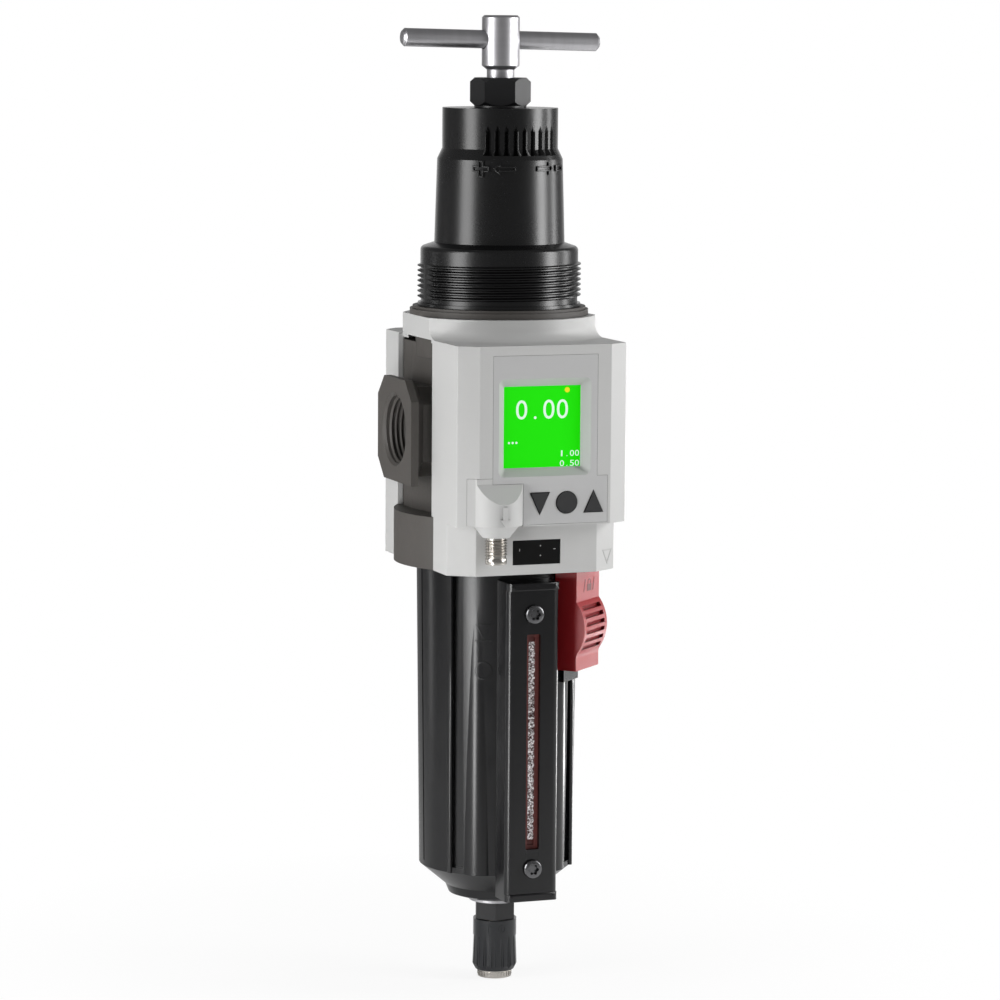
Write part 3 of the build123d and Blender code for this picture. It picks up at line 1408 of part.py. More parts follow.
# Lock slide: finger grip with ribs, hollow back that rides on the bowl's pad, tooth on top
with BuildPart() as lock_slide:
    with BuildSketch(upright_plane(lock_azimuth)) as lock_section:
        with BuildLine():
            Line((lock_face_radius, lock_bulge_z + lock_bulge_half_height), (lock_face_radius, lock_top_z))
            Line((lock_face_radius, lock_top_z), (pad_root_radius, lock_top_z))
            Line((pad_root_radius, lock_top_z), (pad_root_radius, lock_bottom_z))
            Line((pad_root_radius, lock_bottom_z), (lock_face_radius, lock_bottom_z))
            Line((lock_face_radius, lock_bottom_z), (lock_face_radius, lock_bulge_z - lock_bulge_half_height))
            ThreePointArc(
                (lock_face_radius, lock_bulge_z - lock_bulge_half_height),
                (lock_face_radius + lock_bulge, lock_bulge_z),
                (lock_face_radius, lock_bulge_z + lock_bulge_half_height))
        make_face()
        ends = lock_section.vertices()
        for end_z in (lock_bulge_z - lock_bulge_half_height, lock_bulge_z + lock_bulge_half_height):
            fillet(ends.sort_by_distance((lock_face_radius, end_z))[0], lock_bulge_blend)
    extrude(amount=lock_width / 2, both=True)

    # Grooves between the finger ribs
    for number in range(finger_rib_count):
        groove_middle_z = lock_bulge_z + (number - (finger_rib_count - 1) / 2) * finger_rib_pitch
        share = (groove_middle_z - lock_bulge_z) / lock_bulge_half_height
        groove_floor = lock_face_radius + lock_bulge * (1 - share * share) - finger_groove_depth
        with BuildSketch(facing_plane(lock_azimuth, groove_floor)):
            with Locations((0, groove_middle_z)):
                Rectangle(finger_groove_width, finger_groove_height)
        extrude(amount=6, mode=Mode.SUBTRACT)

    # Back: clear of the bowl wall, with a channel for the pad and a pocket for the spring
    with BuildSketch(Plane.XY.offset(lock_bottom_z - 1)):
        Circle(bowl_top_radius + moving_gap)
        with BuildLine():
            Polyline(
                outward * lock_back_radius + across * (pad_half_width - 2 * pad_undercut + moving_gap),
                outward * (pad_face_radius + moving_gap) + across * (pad_half_width + moving_gap),
                outward * (pad_face_radius + moving_gap) - across * (pad_half_width + moving_gap),
                outward * lock_back_radius - across * (pad_half_width - 2 * pad_undercut + moving_gap),
                close=True,
            )
        make_face()
    extrude(amount=lock_top_z - lock_bottom_z + 2, mode=Mode.SUBTRACT)
    pocket_top_z = stop_z + lug_stop_height + lock_spring_length
    with BuildSketch(facing_plane(lock_azimuth, pad_face_radius - 1)):
        with Locations((0, (pocket_top_z + lock_bottom_z - 1) / 2)):
            Rectangle(2 * (lug_stop_half_width + moving_gap), pocket_top_z - lock_bottom_z + 1)
    extrude(amount=3.6 + moving_gap, mode=Mode.SUBTRACT)

    # Tooth that enters the notch of the skirt
    with BuildSketch(facing_plane(lock_azimuth, tooth_inner_radius)):
        with Locations((0, lock_top_z + tooth_height / 2 - 0.5)):
            Rectangle(2 * tooth_half_width, tooth_height + 1 - 1)
    extrude(amount=tooth_outer_radius - tooth_inner_radius)
lock_slide.part.label = "lock_slide"

spring_middle = outward * (pad_face_radius + 1.5)
lock_spring = coil(
    lock_spring_radius, lock_spring_wire, lock_spring_turns,
    stop_z + lug_stop_height, pocket_top_z, (spring_middle.X, spring_middle.Y))
lock_spring.part.label = "lock_spring"

# Drain
drain_washer = turned([
    (drain_neck_radius + moving_gap, drain_washer_bottom_z),
    (drain_washer_radius, drain_washer_bottom_z),
    (drain_washer_radius, bowl_end_z),
    (drain_neck_radius + moving_gap, bowl_end_z),
])
drain_washer.part.label = "drain_washer"

with BuildPart() as drain_nut:
    with BuildSketch(Plane.XY.offset(drain_nut_bottom_z)):
        RegularPolygon(radius=drain_nut_across_flats / 2, side_count=6, major_radius=False,
                       rotation=drain_nut_azimuth)
        Circle(drain_neck_radius + seat_gap, mode=Mode.SUBTRACT)
    extrude(amount=drain_nut_height)
drain_nut.part.label = "drain_nut"

with BuildPart() as drain_knob:
    with BuildSketch(Plane.XZ):
        with BuildLine():
            Polyline(
                (drain_stem_radius + moving_gap, knob_top_z),
                (knob_ring_radius, knob_top_z),
                (knob_ring_radius, knob_ring_bottom_z),
                (knob_top_radius, knob_ring_bottom_z),
                (knob_low_radius, knob_flute_bottom_z),
                (knob_end_radius, knob_bottom_z),
                (tail_radius + moving_gap, knob_bottom_z),
                (tail_radius + moving_gap, tail_top_z + moving_gap),
                (drain_stem_radius + moving_gap, tail_top_z + moving_gap),
                close=True,
            )
        make_face()
    revolve(axis=Axis.Z)
    with BuildSketch(Plane.XY.offset(knob_bottom_z - 1)):
        with PolarLocations(knob_low_radius + flute_radius - flute_depth, flute_count):
            RegularPolygon(radius=flute_radius, side_count=8)
    extrude(amount=knob_ring_bottom_z - knob_bottom_z + 1, mode=Mode.SUBTRACT)
drain_knob.part.label = "drain_knob"

drain_stem = turned([
    (drain_bore_radius, tail_bottom_z),
    (tail_radius, tail_bottom_z),
    (tail_radius, tail_top_z),
    (drain_stem_radius, tail_top_z),
    (drain_stem_radius, drain_nut_bottom_z),
    (drain_neck_radius, drain_nut_bottom_z),
    (drain_neck_radius, bowl_floor_z + drain_seal_thickness),
    (drain_flange_radius, bowl_floor_z + drain_seal_thickness),
    (drain_flange_radius, bowl_floor_z + drain_seal_thickness + drain_flange_thickness),
    (drain_bore_radius, bowl_floor_z + drain_seal_thickness + drain_flange_thickness),
])
drain_stem.part.label = "drain_stem"

drain_seal = turned([
    (drain_neck_radius + seat_gap, bowl_floor_z),
    (drain_flange_radius - 0.5, bowl_floor_z),
    (drain_flange_radius - 0.5, bowl_floor_z + drain_seal_thickness),
    (drain_neck_radius + seat_gap, bowl_floor_z + drain_seal_thickness),
])
drain_seal.part.label = "drain_seal"

pieces = [
    body_casting, front_cover, rear_cover, display_module, display_screen, sensor_seal,
    connector_housing, m8_connector, connector_insert, connector_pins, inset_plate,
    bonnet, lock_nut, adjusting_screw, t_bar, spring_rest, range_spring,
    diaphragm_plate, diaphragm, valve_poppet, valve_spring, valve_guide,
    swirl_deflector, filter_element, baffle, filter_stud,
    bowl, bowl_seal, sight_gasket, sight_prism, sight_cover, cover_screws,
    lock_slide, lock_spring, drain_washer, drain_nut, drain_knob, drain_stem, drain_seal,
]
os.makedirs("parts", exist_ok=True)
for piece in pieces:
    export_step(piece.part, "parts/" + piece.part.label + ".step")
for button_name, button_part in buttons.items():
    export_step(button_part, "parts/" + button_name + ".step")
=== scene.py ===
"""Filter regulator: finishes, threads, display picture, moulded marks and a studio, for Blender."""
import json
import math
from contextlib import contextmanager

import bpy
from bpy.props import FloatProperty, FloatVectorProperty, IntProperty, PointerProperty
from mathutils import Matrix, Vector


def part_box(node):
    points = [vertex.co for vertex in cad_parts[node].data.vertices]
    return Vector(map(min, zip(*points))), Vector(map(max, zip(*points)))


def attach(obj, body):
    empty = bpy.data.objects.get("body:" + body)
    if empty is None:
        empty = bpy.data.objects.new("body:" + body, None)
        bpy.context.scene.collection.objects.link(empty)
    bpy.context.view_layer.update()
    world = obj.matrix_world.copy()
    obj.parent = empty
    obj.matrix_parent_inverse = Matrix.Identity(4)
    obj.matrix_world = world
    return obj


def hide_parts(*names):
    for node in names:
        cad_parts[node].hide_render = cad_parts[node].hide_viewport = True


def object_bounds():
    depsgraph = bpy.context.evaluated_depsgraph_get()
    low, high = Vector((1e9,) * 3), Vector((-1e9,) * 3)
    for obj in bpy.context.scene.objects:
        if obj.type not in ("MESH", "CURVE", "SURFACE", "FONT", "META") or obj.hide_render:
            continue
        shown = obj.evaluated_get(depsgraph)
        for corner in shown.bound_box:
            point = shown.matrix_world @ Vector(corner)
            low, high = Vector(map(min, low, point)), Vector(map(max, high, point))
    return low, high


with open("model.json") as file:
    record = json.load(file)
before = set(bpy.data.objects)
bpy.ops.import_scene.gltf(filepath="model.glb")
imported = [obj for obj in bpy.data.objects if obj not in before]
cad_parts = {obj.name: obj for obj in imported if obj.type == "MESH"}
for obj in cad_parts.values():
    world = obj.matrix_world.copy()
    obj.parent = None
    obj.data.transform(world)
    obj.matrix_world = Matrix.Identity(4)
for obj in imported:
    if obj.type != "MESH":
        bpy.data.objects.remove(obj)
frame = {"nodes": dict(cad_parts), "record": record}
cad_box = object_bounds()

bl_info = {
    "name": "Filter regulator",
    "version": (1, 0, 0),
    "blender": (4, 5, 0),
    "location": "View3D > Sidebar > Regulator",
    "description": "Finishes, threads, marks and studio for the filter regulator",
    "category": "Object",
}

MM = 0.001
HAIR = 1e-6  # metres within which two points or heights count as the same
WHITE = (1.0, 1.0, 1.0)
EVEN = (1.0, 1.0, 1.0)  # no stretch on any axis
ALONG_X = (1.0, 0.02, 0.02)  # stretches that turn a noise into rings across one axis
ALONG_Z = (0.02, 0.02, 1.0)


def length(name, description, millimetres):
    """Property for a length, with its default given in millimetres."""
    return FloatProperty(name=name, description=description, default=millimetres * MM,
                         unit="LENGTH", subtype="DISTANCE", precision=5)


def angle(name, description, degrees):
    """Property for an angle, with its default given in degrees."""
    return FloatProperty(name=name, description=description, default=math.radians(degrees),
                         subtype="ANGLE")


def tint(name, description, *levels):
    """Property for a colour, with its default as red, green and blue that a screen shows."""
    shown = [level / 255 for level in levels]
    linear = [part / 12.92 if part <= 0.04045 else ((part + 0.055) / 1.055) ** 2.4
              for part in shown]
    return FloatVectorProperty(name=name, description=description, default=linear,
                               subtype="COLOR", size=3, min=0.0, max=1.0)


def share(name, description, value):
    """Property for a plain number from 0 upwards."""
    return FloatProperty(name=name, description=description, default=value, min=0.0)


# -------- what a user would change

class RegulatorColours(bpy.types.PropertyGroup):
    """Colours of the finishes"""
    casting: tint("Body casting", "Powder coat on the body casting", 75, 72, 69)
    bonnet: tint("Bonnet", "Satin paint on the bonnet", 9, 9, 10)
    bowl: tint("Bowl", "Satin paint on the bowl and its cover", 10, 10, 12)
    cover: tint("Covers", "Moulded light grey covers", 188, 188, 187)
    panel: tint("Panel", "Moulded display panel", 182, 182, 182)
    button: tint("Buttons", "Soft black buttons", 38, 38, 39)
    steel: tint("Steel", "Turned steel", 188, 187, 190)
    nickel: tint("Nickel", "Nickel plate", 190, 186, 180)
    lock: tint("Lock", "Red of the lock slide", 152, 17, 25)
    gasket: tint("Gasket", "Red-brown rubber behind the sight cover", 104, 50, 46)
    screen: tint("Screen", "Lit ground of the display", 29, 230, 2)
    figures: tint("Figures", "Figures on the display", 226, 250, 232)
    lamp: tint("Lamp dot", "Round spot in the display's corner", 240, 226, 40)


class PanelThreadSizes(bpy.types.PropertyGroup):
    """Coarse outer thread of the bonnet"""
    root: length("Root radius", "Radius inside the ridge, in the bonnet", 28.2)
    crest: length("Crest radius", "Outer radius of the thread", 29.75)
    pitch: length("Pitch", "Rise in one turn", 1.86)
    bottom: length("Bottom", "Height of the lowest ridge's middle", 47.3)
    turns: IntProperty(name="Turns", default=7,
                       description="Turns of the ridge, which starts and ends at the back")
    flat: length("Flats", "Distance from the axis to each side flat", 28.45)


class PortThreadSizes(bpy.types.PropertyGroup):
    """Inner thread of the two ports"""
    wall: length("Wall radius", "Radius of the tapped hole", 12.3)
    crest: length("Crest radius", "Inner radius of the thread", 11.65)
    pitch: length("Pitch", "Rise in one turn", 1.814)
    first: length("First turn", "Distance of the first turn from the middle", 26.0)
    last: length("Last turn", "Distance of the last turn from the middle", 38.4)


class ConnectorSizes(bpy.types.PropertyGroup):
    """Outer thread of the cable connector, and the sleeve below it"""
    across: length("Across", "Place of the connector's axis along X", -17.2)
    along: length("Along", "Place of the connector's axis along Y", -46.0)
    root: length("Root radius", "Radius inside the ridge, in the tube", 3.4)
    crest: length("Crest radius", "Outer radius of the thread", 4.0)
    pitch: length("Pitch", "Rise in one turn", 1.0)
    bottom: length("Bottom", "Height of the lowest ridge", -41.2)
    top: length("Top", "Height of the highest ridge", -35.3)
    sleeve: length("Sleeve radius", "Middle radius of the sleeve's sheet", 3.85)
    sleeve_wall: length("Sleeve wall", "Thickness of the sleeve", 0.5)
    sleeve_tall: length("Sleeve height", "Height of the sleeve", 2.2)
    sleeve_middle: length("Sleeve middle", "Height of the sleeve's middle", -43.0)


class DisplaySizes(bpy.types.PropertyGroup):
    """Picture on the display"""
    face: length("Face", "Place of the screen's face along Y", -46.6)
    proud: length("Thickness", "Height of the figures over the screen", 0.04)
    large: length("Large figures", "Height of the large figures", 6.8)
    small: length("Small figures", "Height of the small figures", 2.1)
    large_cell: length("Large cell", "Width that each large figure takes", 5.15)
    small_cell: length("Small cell", "Width that each small figure takes", 1.9)


class MarkSizes(bpy.types.PropertyGroup):
    """Raised marks on the mouldings and castings"""
    proud: length("Thickness", "Height of the cast marks over their surface", 0.65)
    fine: length("Fine thickness", "Height of the moulded marks over their surface", 0.12)
    stroke: length("Stroke", "Width of a mark's outline", 0.6)


class SightCoverSizes(bpy.types.PropertyGroup):
    """Sight cover on the bowl's front"""
    half_width: length("Half width", "Distance from the middle to each side", 10.0)
    corner: length("Corner radius", "Radius of the front's upright edges", 2.6)
    lip: length("Lip height", "Height of the lip at each end", 2.8)
    step: length("Lip step", "Distance that each lip stands forward", 0.7)


class ScrewHeadSizes(bpy.types.PropertyGroup):
    """Screws of the sight cover"""
    face: length("Face", "Place of the sight cover's front along Y", -39.2)
    radius: length("Head radius", "Radius of the head", 3.4)
    height: length("Head height", "Height of the head over the cover", 1.7)
    socket: length("Socket radius", "Outer radius of the six-lobe socket", 2.05)
    upper: length("Upper screw", "Height of the upper screw", -63.9)
    lower: length("Lower screw", "Height of the lower screw", -156.9)


class StudioSetup(bpy.types.PropertyGroup):
    """Camera, lights and floor"""
    azimuth: angle("Camera azimuth", "Camera's direction, counted from the front", -20.0)
    elevation: angle("Camera elevation", "Camera's angle above the ports", 7.0)
    distance: length("Camera distance", "Distance from the aim", 1466.0)
    roll: angle("Camera roll", "Turn of the picture", 0.40)
    lens: FloatProperty(name="Lens", description="Focal length in millimetres", default=144.0)
    aim: FloatVectorProperty(name="Aim", description="Point that the camera looks at",
                             default=(0.00083, -0.0003, -0.02722), subtype="XYZ", unit="LENGTH")
    sky: share("Sky", "Strength of the even light", 0.21)
    lamps: share("Lamps", "Brightness of the soft lamps", 11.5)
    floor_size: length("Floor", "Width of the floor", 6000.0)


# -------- node materials

def maths(operation, turned_round=False):
    """Operator method that puts a maths node on a wire."""
    def method(self, *others):
        values = (*others, self) if turned_round else (self, *others)
        return self.nodes.node("ShaderNodeMath", {"operation": operation}, *values)
    return method


class Wire:
    """One output of a node, so that shader maths reads as an expression."""
    __add__ = __radd__ = maths("ADD")
    __sub__ = maths("SUBTRACT")
    __rsub__ = maths("SUBTRACT", turned_round=True)
    __mul__ = maths("MULTIPLY")
    __pow__ = maths("POWER")
    __gt__ = maths("GREATER_THAN")
    sine = maths("SINE")

    def __init__(self, nodes, socket):
        self.nodes = nodes
        self.socket = socket

    def held(self):
        """The same value held between 0 and 1."""
        return self.nodes.node("ShaderNodeClamp", {}, self)


class Nodes:
    """The nodes of a material or of the world."""

    def __init__(self, owner):
        owner.use_nodes = True
        self.tree = owner.node_tree

    def set(self, socket, value):
        """Links a wire to a socket, or writes a number or colour on it."""
        if isinstance(value, Wire):
            self.tree.links.new(value.socket, socket)
        elif value is not None:
            plain = socket.type == "RGBA" and len(value) == 3
            socket.default_value = (*value, 1.0) if plain else value

    def node(self, kind, settings, *values, output=0, **named):
        """Adds a node, sets its options, then its inputs, and gives one of its outputs."""
        made = self.tree.nodes.new(kind)
        for option, value in settings.items():
            setattr(made, option, value)
        for socket, value in zip(made.inputs, values):
            self.set(socket, value)
        for socket, value in named.items():
            self.set(made.inputs[socket], value)
        return Wire(self, made.outputs[output])


class Finish(Nodes):
    """A new node material with one surface shader."""

    def __init__(self, name, colour, roughness, metallic=0.0, **constants):
        self.name = name
        self.material = bpy.data.materials.new(name)
        super().__init__(self.material)
        self.shader = self.tree.nodes["Principled BSDF"]
        self.set(self.shader.inputs["Base Color"], tuple(colour))
        self.set(self.shader.inputs["Roughness"], roughness)
        self.set(self.shader.inputs["Metallic"], metallic)
        for constant, value in constants.items():
            self.set(self.shader.inputs[constant.replace("_", " ")], value)

    def place(self, stretch=EVEN):
        """Object coordinates in metres, stretched on each axis."""
        here = self.node("ShaderNodeTexCoord", {}, output="Object")
        return here if stretch == EVEN else self.node(
            "ShaderNodeMapping", {}, Vector=here, Scale=stretch)

    def noise(self, size, detail=2.0, roughness=0.5, stretch=EVEN):
        """Noise with features of about this size, in metres."""
        return self.node("ShaderNodeTexNoise", {}, Vector=self.place(stretch),
                         Scale=1.0 / size, Detail=detail, Roughness=roughness)

    def part(self, axis):
        """One coordinate in metres: X, Y or Z."""
        return self.node("ShaderNodeSeparateXYZ", {}, self.place(), output=axis)

    def mix(self, low, high, amount):
        """Colour between two colours."""
        made = self.tree.nodes.new("ShaderNodeMix")
        made.data_type = "RGBA"
        for index, value in ((0, amount), (6, low), (7, high)):
            self.set(made.inputs[index], value)
        return Wire(self, made.outputs[2])

    def feed(self, name, wire):
        """Links a value to one of the surface shader's inputs."""
        self.tree.links.new(wire.socket, self.shader.inputs[name])

    def bump(self, height, distance):
        """Raises the surface by a height pattern, at most by this distance in metres."""
        self.feed("Normal", self.node("ShaderNodeBump", {}, Strength=1.0,
                                      Distance=distance, Height=height))

    def varied(self, colour, low, high, amount):
        """Colour that goes from one share of itself to another."""
        return self.mix(scaled(colour, low), scaled(colour, high), amount)


def scaled(colour, factor):
    """The same colour, lighter or darker."""
    return tuple(min(channel * factor, 1.0) for channel in colour)


def painted_crevice_shade(finish, tone, reach, dark):
    """Painted shade: colour that goes dark in the gaps and inner corners nearer than a reach."""
    free = finish.node("ShaderNodeAmbientOcclusion", {"samples": 8}, Distance=reach, output="AO")
    return finish.mix(dark, tone, (free * 1.7 - 0.2).held())


def grained(name, colour, roughness, grain, depth, spread=0.1, metallic=0.0, shade_reach=0.0,
            **constants):
    """Fine grain, a slight drift of colour and gloss, and painted shade in gaps; sizes in
    millimetres.
    """
    finish = Finish(name, colour, roughness, metallic, **constants)
    drift = finish.noise(18 * MM, 3.0)
    fleck = finish.noise(grain * MM * 2.5, 2.0)
    amount = (drift * 0.6 + fleck * 0.4).held()
    tone = finish.varied(colour, 1 - spread, 1 + spread, amount)
    if shade_reach:
        # painted shade in the gaps and inner corners
        tone = painted_crevice_shade(finish, tone, shade_reach * MM, scaled(colour, 0.12))
    finish.feed("Base Color", tone)
    finish.feed("Roughness", (roughness - 0.06) + drift * 0.12)
    finish.bump(finish.noise(grain * MM, 3.0, 0.6), depth * MM)
    return finish


def turned(name, colour, roughness, stretch, depth=0.02, spread=0.12):
    """Metal with fine lathe rings along one axis, with a depth in millimetres."""
    finish = Finish(name, colour, roughness, 1.0)
    rings = finish.noise(0.25 * MM, 3.0, 0.7, stretch)
    bands = finish.noise(2.5 * MM, 2.0, 0.5, stretch)
    stain = finish.noise(6 * MM, 3.0)
    finish.feed("Base Color", finish.varied(colour, 1 - spread, 1 + spread, bands))
    finish.feed("Roughness", (roughness - 0.08) + rings * 0.1 + stain * 0.08)
    finish.bump(rings, depth * MM)
    return finish


def painted_casting(name, colour, roughness, texture, depth, shade_reach, **constants):
    """Painted casting: orange peel, grit, light specks, painted shade in corners; sizes in
    millimetres.
    """
    finish = Finish(name, colour, roughness, **constants)
    peel = finish.noise(texture * MM * 3, 2.0, 0.4)
    grit = finish.noise(texture * MM, 3.0, 0.7)
    drift = finish.noise(25 * MM, 3.0)
    specks = (finish.noise(0.9 * MM, 4.0, 0.7) > 0.66) * 0.5
    tone = finish.varied(colour, 0.86, 1.16, drift)
    tone = finish.mix(tone, scaled(colour, 1.7), specks)
    # painted shade in the corners, in the base colour
    finish.feed("Base Color", painted_crevice_shade(finish, tone, shade_reach * MM, scaled(colour, 0.3)))
    finish.feed("Roughness", (roughness - 0.05) + drift * 0.08 + grit * 0.06)
    finish.bump(peel * 0.7 + grit * 0.3, depth * MM)
    return finish


def wound(name, colour):
    """Drawn spring wire with lengthwise scratches."""
    finish = Finish(name, colour, 0.35, 1.0)
    streaks = finish.noise(0.5 * MM, 3.0, 0.6, (1.0, 1.0, 6.0))
    finish.feed("Base Color", finish.varied(colour, 0.75, 1.15, streaks))
    finish.feed("Roughness", 0.28 + streaks * 0.18)
    finish.bump(streaks, 0.01 * MM)
    return finish


def porous(name, colour):
    """Sintered filter body: packed grains, with painted shade darkening the pores between them."""
    finish = Finish(name, colour, 0.85)
    cells = finish.node("ShaderNodeTexVoronoi", {}, Vector=finish.place(), Scale=1 / (0.5 * MM))
    # painted shade: darker away from each grain's middle, where the bump sinks into the pores
    finish.feed("Base Color", finish.varied(colour, 1.0, 0.45, (cells ** 2.0).held()))
    finish.bump(1 - cells, 0.12 * MM)
    return finish


PIXEL = 0.22 * MM  # pitch of the screen's pixels
SCREEN_GLOW = 0.68
# strength of the glow painted on the prism's flecks, which are no lamp
PRISM_PAINTED_GLOW = 0.4


def lit(name, colour):
    """Lit picture element with a faint grid of pixels."""
    finish = Finish(name, scaled(colour, 0.35), 0.5, Specular_IOR_Level=0.1,
                    Emission_Strength=SCREEN_GLOW)
    grid = 2 * math.pi / PIXEL
    rows = (finish.part("Z") * grid).sine() * (finish.part("X") * grid).sine()
    glow = finish.noise(12 * MM, 1.0)
    amount = (0.62 + rows * 0.1 + glow * 0.2).held()
    finish.feed("Emission Color", finish.varied(colour, 0.9, 1.03, amount))
    return finish


def painted_sparkle(name, ground):
    """Clear moulded prism over the red gasket: broken facets between dark ones, with painted
    glints, near-white flecks that also glow.
    """
    finish = Finish(name, ground, 0.12, Coat_Weight=0.6, Emission_Strength=PRISM_PAINTED_GLOW)
    flare = finish.noise(0.8 * MM, 3.0, 0.8)
    # painted glints: near-white flecks in the base colour that also glow, for light caught inside
    # the prism
    bright = (flare * 6.0 - 2.6).held()
    finish.feed("Base Color", finish.mix(scaled(ground, 0.6), (0.95, 0.93, 0.93), bright))
    finish.feed("Emission Color", finish.mix((0.0, 0.0, 0.0), (0.95, 0.90, 0.91), bright))
    finish.feed("Roughness", 0.12 + flare * 0.25)
    finish.bump(flare, 0.2 * MM)
    return finish


def make_finishes(colours):
    """All finishes, by name: the record's slots, then the ones that single pieces need."""
    # The casting, bonnet, bowl, cover, panel, lock and screw finishes get painted shade in their
    # gaps and inner corners; its reach is the last length given, in millimetres.
    made = [
        painted_casting("casting_grey", colours.casting, 0.5, 0.45, 0.07, 9,
                        Specular_IOR_Level=0.35),
        painted_casting("bonnet_black", colours.bonnet, 0.26, 0.5, 0.012, 2),
        painted_casting("bowl_black", colours.bowl, 0.23, 0.5, 0.012, 2),
        grained("cover_grey", colours.cover, 0.5, 0.35, 0.018, 0.025, shade_reach=1.2),
        grained("panel_grey", colours.panel, 0.55, 0.3, 0.014, 0.02, shade_reach=1.2),
        grained("button_black", colours.button, 0.5, 0.25, 0.02),
        lit("screen", colours.screen),
        grained("insert_black", (0.014, 0.014, 0.014), 0.5, 0.3, 0.02),
        grained("plate_black", (0.005, 0.005, 0.005), 0.3, 0.3, 0.008,
                Specular_IOR_Level=0.2),
        turned("steel", colours.steel, 0.4, ALONG_Z),
        wound("spring_steel", (0.34, 0.34, 0.35)),
        turned("nickel", colours.nickel, 0.2, ALONG_Z, 0.01),
        turned("contact_brass", (0.62, 0.40, 0.13), 0.25, ALONG_Z),
        grained("rubber_black", (0.015, 0.015, 0.016), 0.7, 0.4, 0.03),
        grained("gasket_red", colours.gasket, 0.45, 0.4, 0.04, 0.2),
        painted_sparkle("prism_clear", colours.gasket),
        grained("lock_red", colours.lock, 0.36, 0.4, 0.02, 0.06, shade_reach=2.5),
        grained("inner_plastic", (0.52, 0.52, 0.50), 0.5, 0.4, 0.02, 0.04),
        porous("element_white", (0.72, 0.72, 0.69)),
        grained("nut_black", (0.008, 0.008, 0.009), 0.34, 0.35, 0.02),
        grained("knob_black", (0.010, 0.011, 0.013), 0.2, 0.35, 0.012),
        turned("bar_steel", colours.steel, 0.36, ALONG_X, 0.012, 0.1),
        grained("lock_mark", scaled(colours.lock, 0.3), 0.5, 0.3, 0.02),
        # a little darker than the cover: painted shade along the edges of the moulded triangle
        grained("mark_grey_painted_shade", scaled(colours.cover, 0.86), 0.5, 0.3, 0.01, 0.02),
        grained("screw_black", (0.16, 0.16, 0.165), 0.26, 0.3, 0.01, 0.1, 1.0, 1.5),
        lit("figures", colours.figures),
        lit("lamp_dot", colours.lamp),
        grained("plate_marks", (0.45, 0.45, 0.45), 0.5, 0.2, 0.01),
    ]
    return {finish.name: finish.material for finish in made}


NODE_VARIANTS = {"t_bar": "bar_steel"}
FINISHES = {}


# -------- modelling helpers

def begin():
    """Leaves edit mode with nothing selected, because the CAD nodes come in selected."""
    if bpy.context.mode != "OBJECT":
        bpy.ops.object.mode_set(mode="OBJECT")
    bpy.ops.object.select_all(action="DESELECT")


def added(name, data):
    """New object in the scene."""
    piece = bpy.data.objects.new(name, data)
    bpy.context.scene.collection.objects.link(piece)
    return piece


def choose(piece):
    """Makes one piece the only selected and the active one."""
    begin()
    piece.select_set(True)
    bpy.context.view_layer.objects.active = piece


@contextmanager
def editing():
    """Edit mode with all of the active piece selected, left again at the end."""
    bpy.ops.object.mode_set(mode="EDIT")
    bpy.ops.mesh.select_all(action="SELECT")
    yield
    bpy.ops.object.mode_set(mode="OBJECT")


def pick(test, kind="FACE"):
    """In edit mode, selects the faces or vertices whose middle passes the test."""
    bpy.ops.mesh.select_mode(type=kind)
    bpy.ops.mesh.select_all(action="DESELECT")
    bpy.ops.object.mode_set(mode="OBJECT")
    mesh = bpy.context.object.data
    if kind == "FACE":
        for face in mesh.polygons:
            face.select = test(face.center, face.normal)
    else:
        for vertex in mesh.vertices:
            vertex.select = test(vertex.co)
    bpy.ops.object.mode_set(mode="EDIT")


def tidy_normals():
    """In edit mode, merges doubles and turns all faces outwards."""
    bpy.ops.mesh.select_all(action="SELECT")
    bpy.ops.mesh.remove_doubles(threshold=HAIR)
    bpy.ops.mesh.normals_make_consistent(inside=False)


def apply_modifier(piece, kind, **settings):
    """Adds a modifier with these settings and applies it."""
    choose(piece)
    modifier = piece.modifiers.new(kind.lower(), kind)
    for option, value in settings.items():
        setattr(modifier, option, value)
    bpy.ops.object.modifier_apply(modifier=modifier.name)


def combine(piece, other, operation):
    """Applies an exact boolean to a piece, and deletes the other one."""
    apply_modifier(piece, "BOOLEAN", operation=operation, solver="EXACT", object=other)
    bpy.data.objects.remove(other)


def join(pieces):
    """Makes one piece of several."""
    choose(pieces[0])
    for piece in pieces:
        piece.select_set(True)
    bpy.ops.object.join()
    return bpy.context.object


def deliver(piece, name, slot, finish=None, body="housing", smooth=math.radians(35),
            replaced=()):
    """Puts the piece's place in its mesh, and gives it its name and body, and the finish given, or
    else the one named like its slot.
    """
    choose(piece)
    bpy.ops.object.transform_apply(location=True, rotation=True, scale=True)
    bpy.ops.object.shade_smooth_by_angle(angle=smooth)
    piece.name = piece.data.name = name
    piece.data.materials.clear()
    piece.data.materials.append(FINISHES[finish or slot])
    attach(piece, body)
    if replaced:
        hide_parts(*replaced)
    return piece


def outline(points):
    """Flat face with these corners, in millimetres in the local XY plane."""
    begin()
    bpy.ops.mesh.primitive_circle_add(vertices=len(points), fill_type="NGON")
    piece = bpy.context.object
    for vertex, (across, up) in zip(piece.data.vertices, points):
        vertex.co = (across * MM, up * MM, 0)
    with editing():
        bpy.ops.mesh.normals_make_consistent(inside=False)
    if piece.data.polygons[0].normal.z < 0:
        piece.data.flip_normals()
    return piece


def ringed(piece, stroke):
    """Leaves a stroke along the edge of a flat face, cut so that it can follow a curve."""
    choose(piece)
    with editing():
        bpy.ops.mesh.inset(thickness=stroke, use_boundary=True)
        bpy.ops.mesh.delete(type="FACE")
        bpy.ops.mesh.select_all(action="SELECT")
        bpy.ops.mesh.subdivide(number_cuts=3)
    return piece


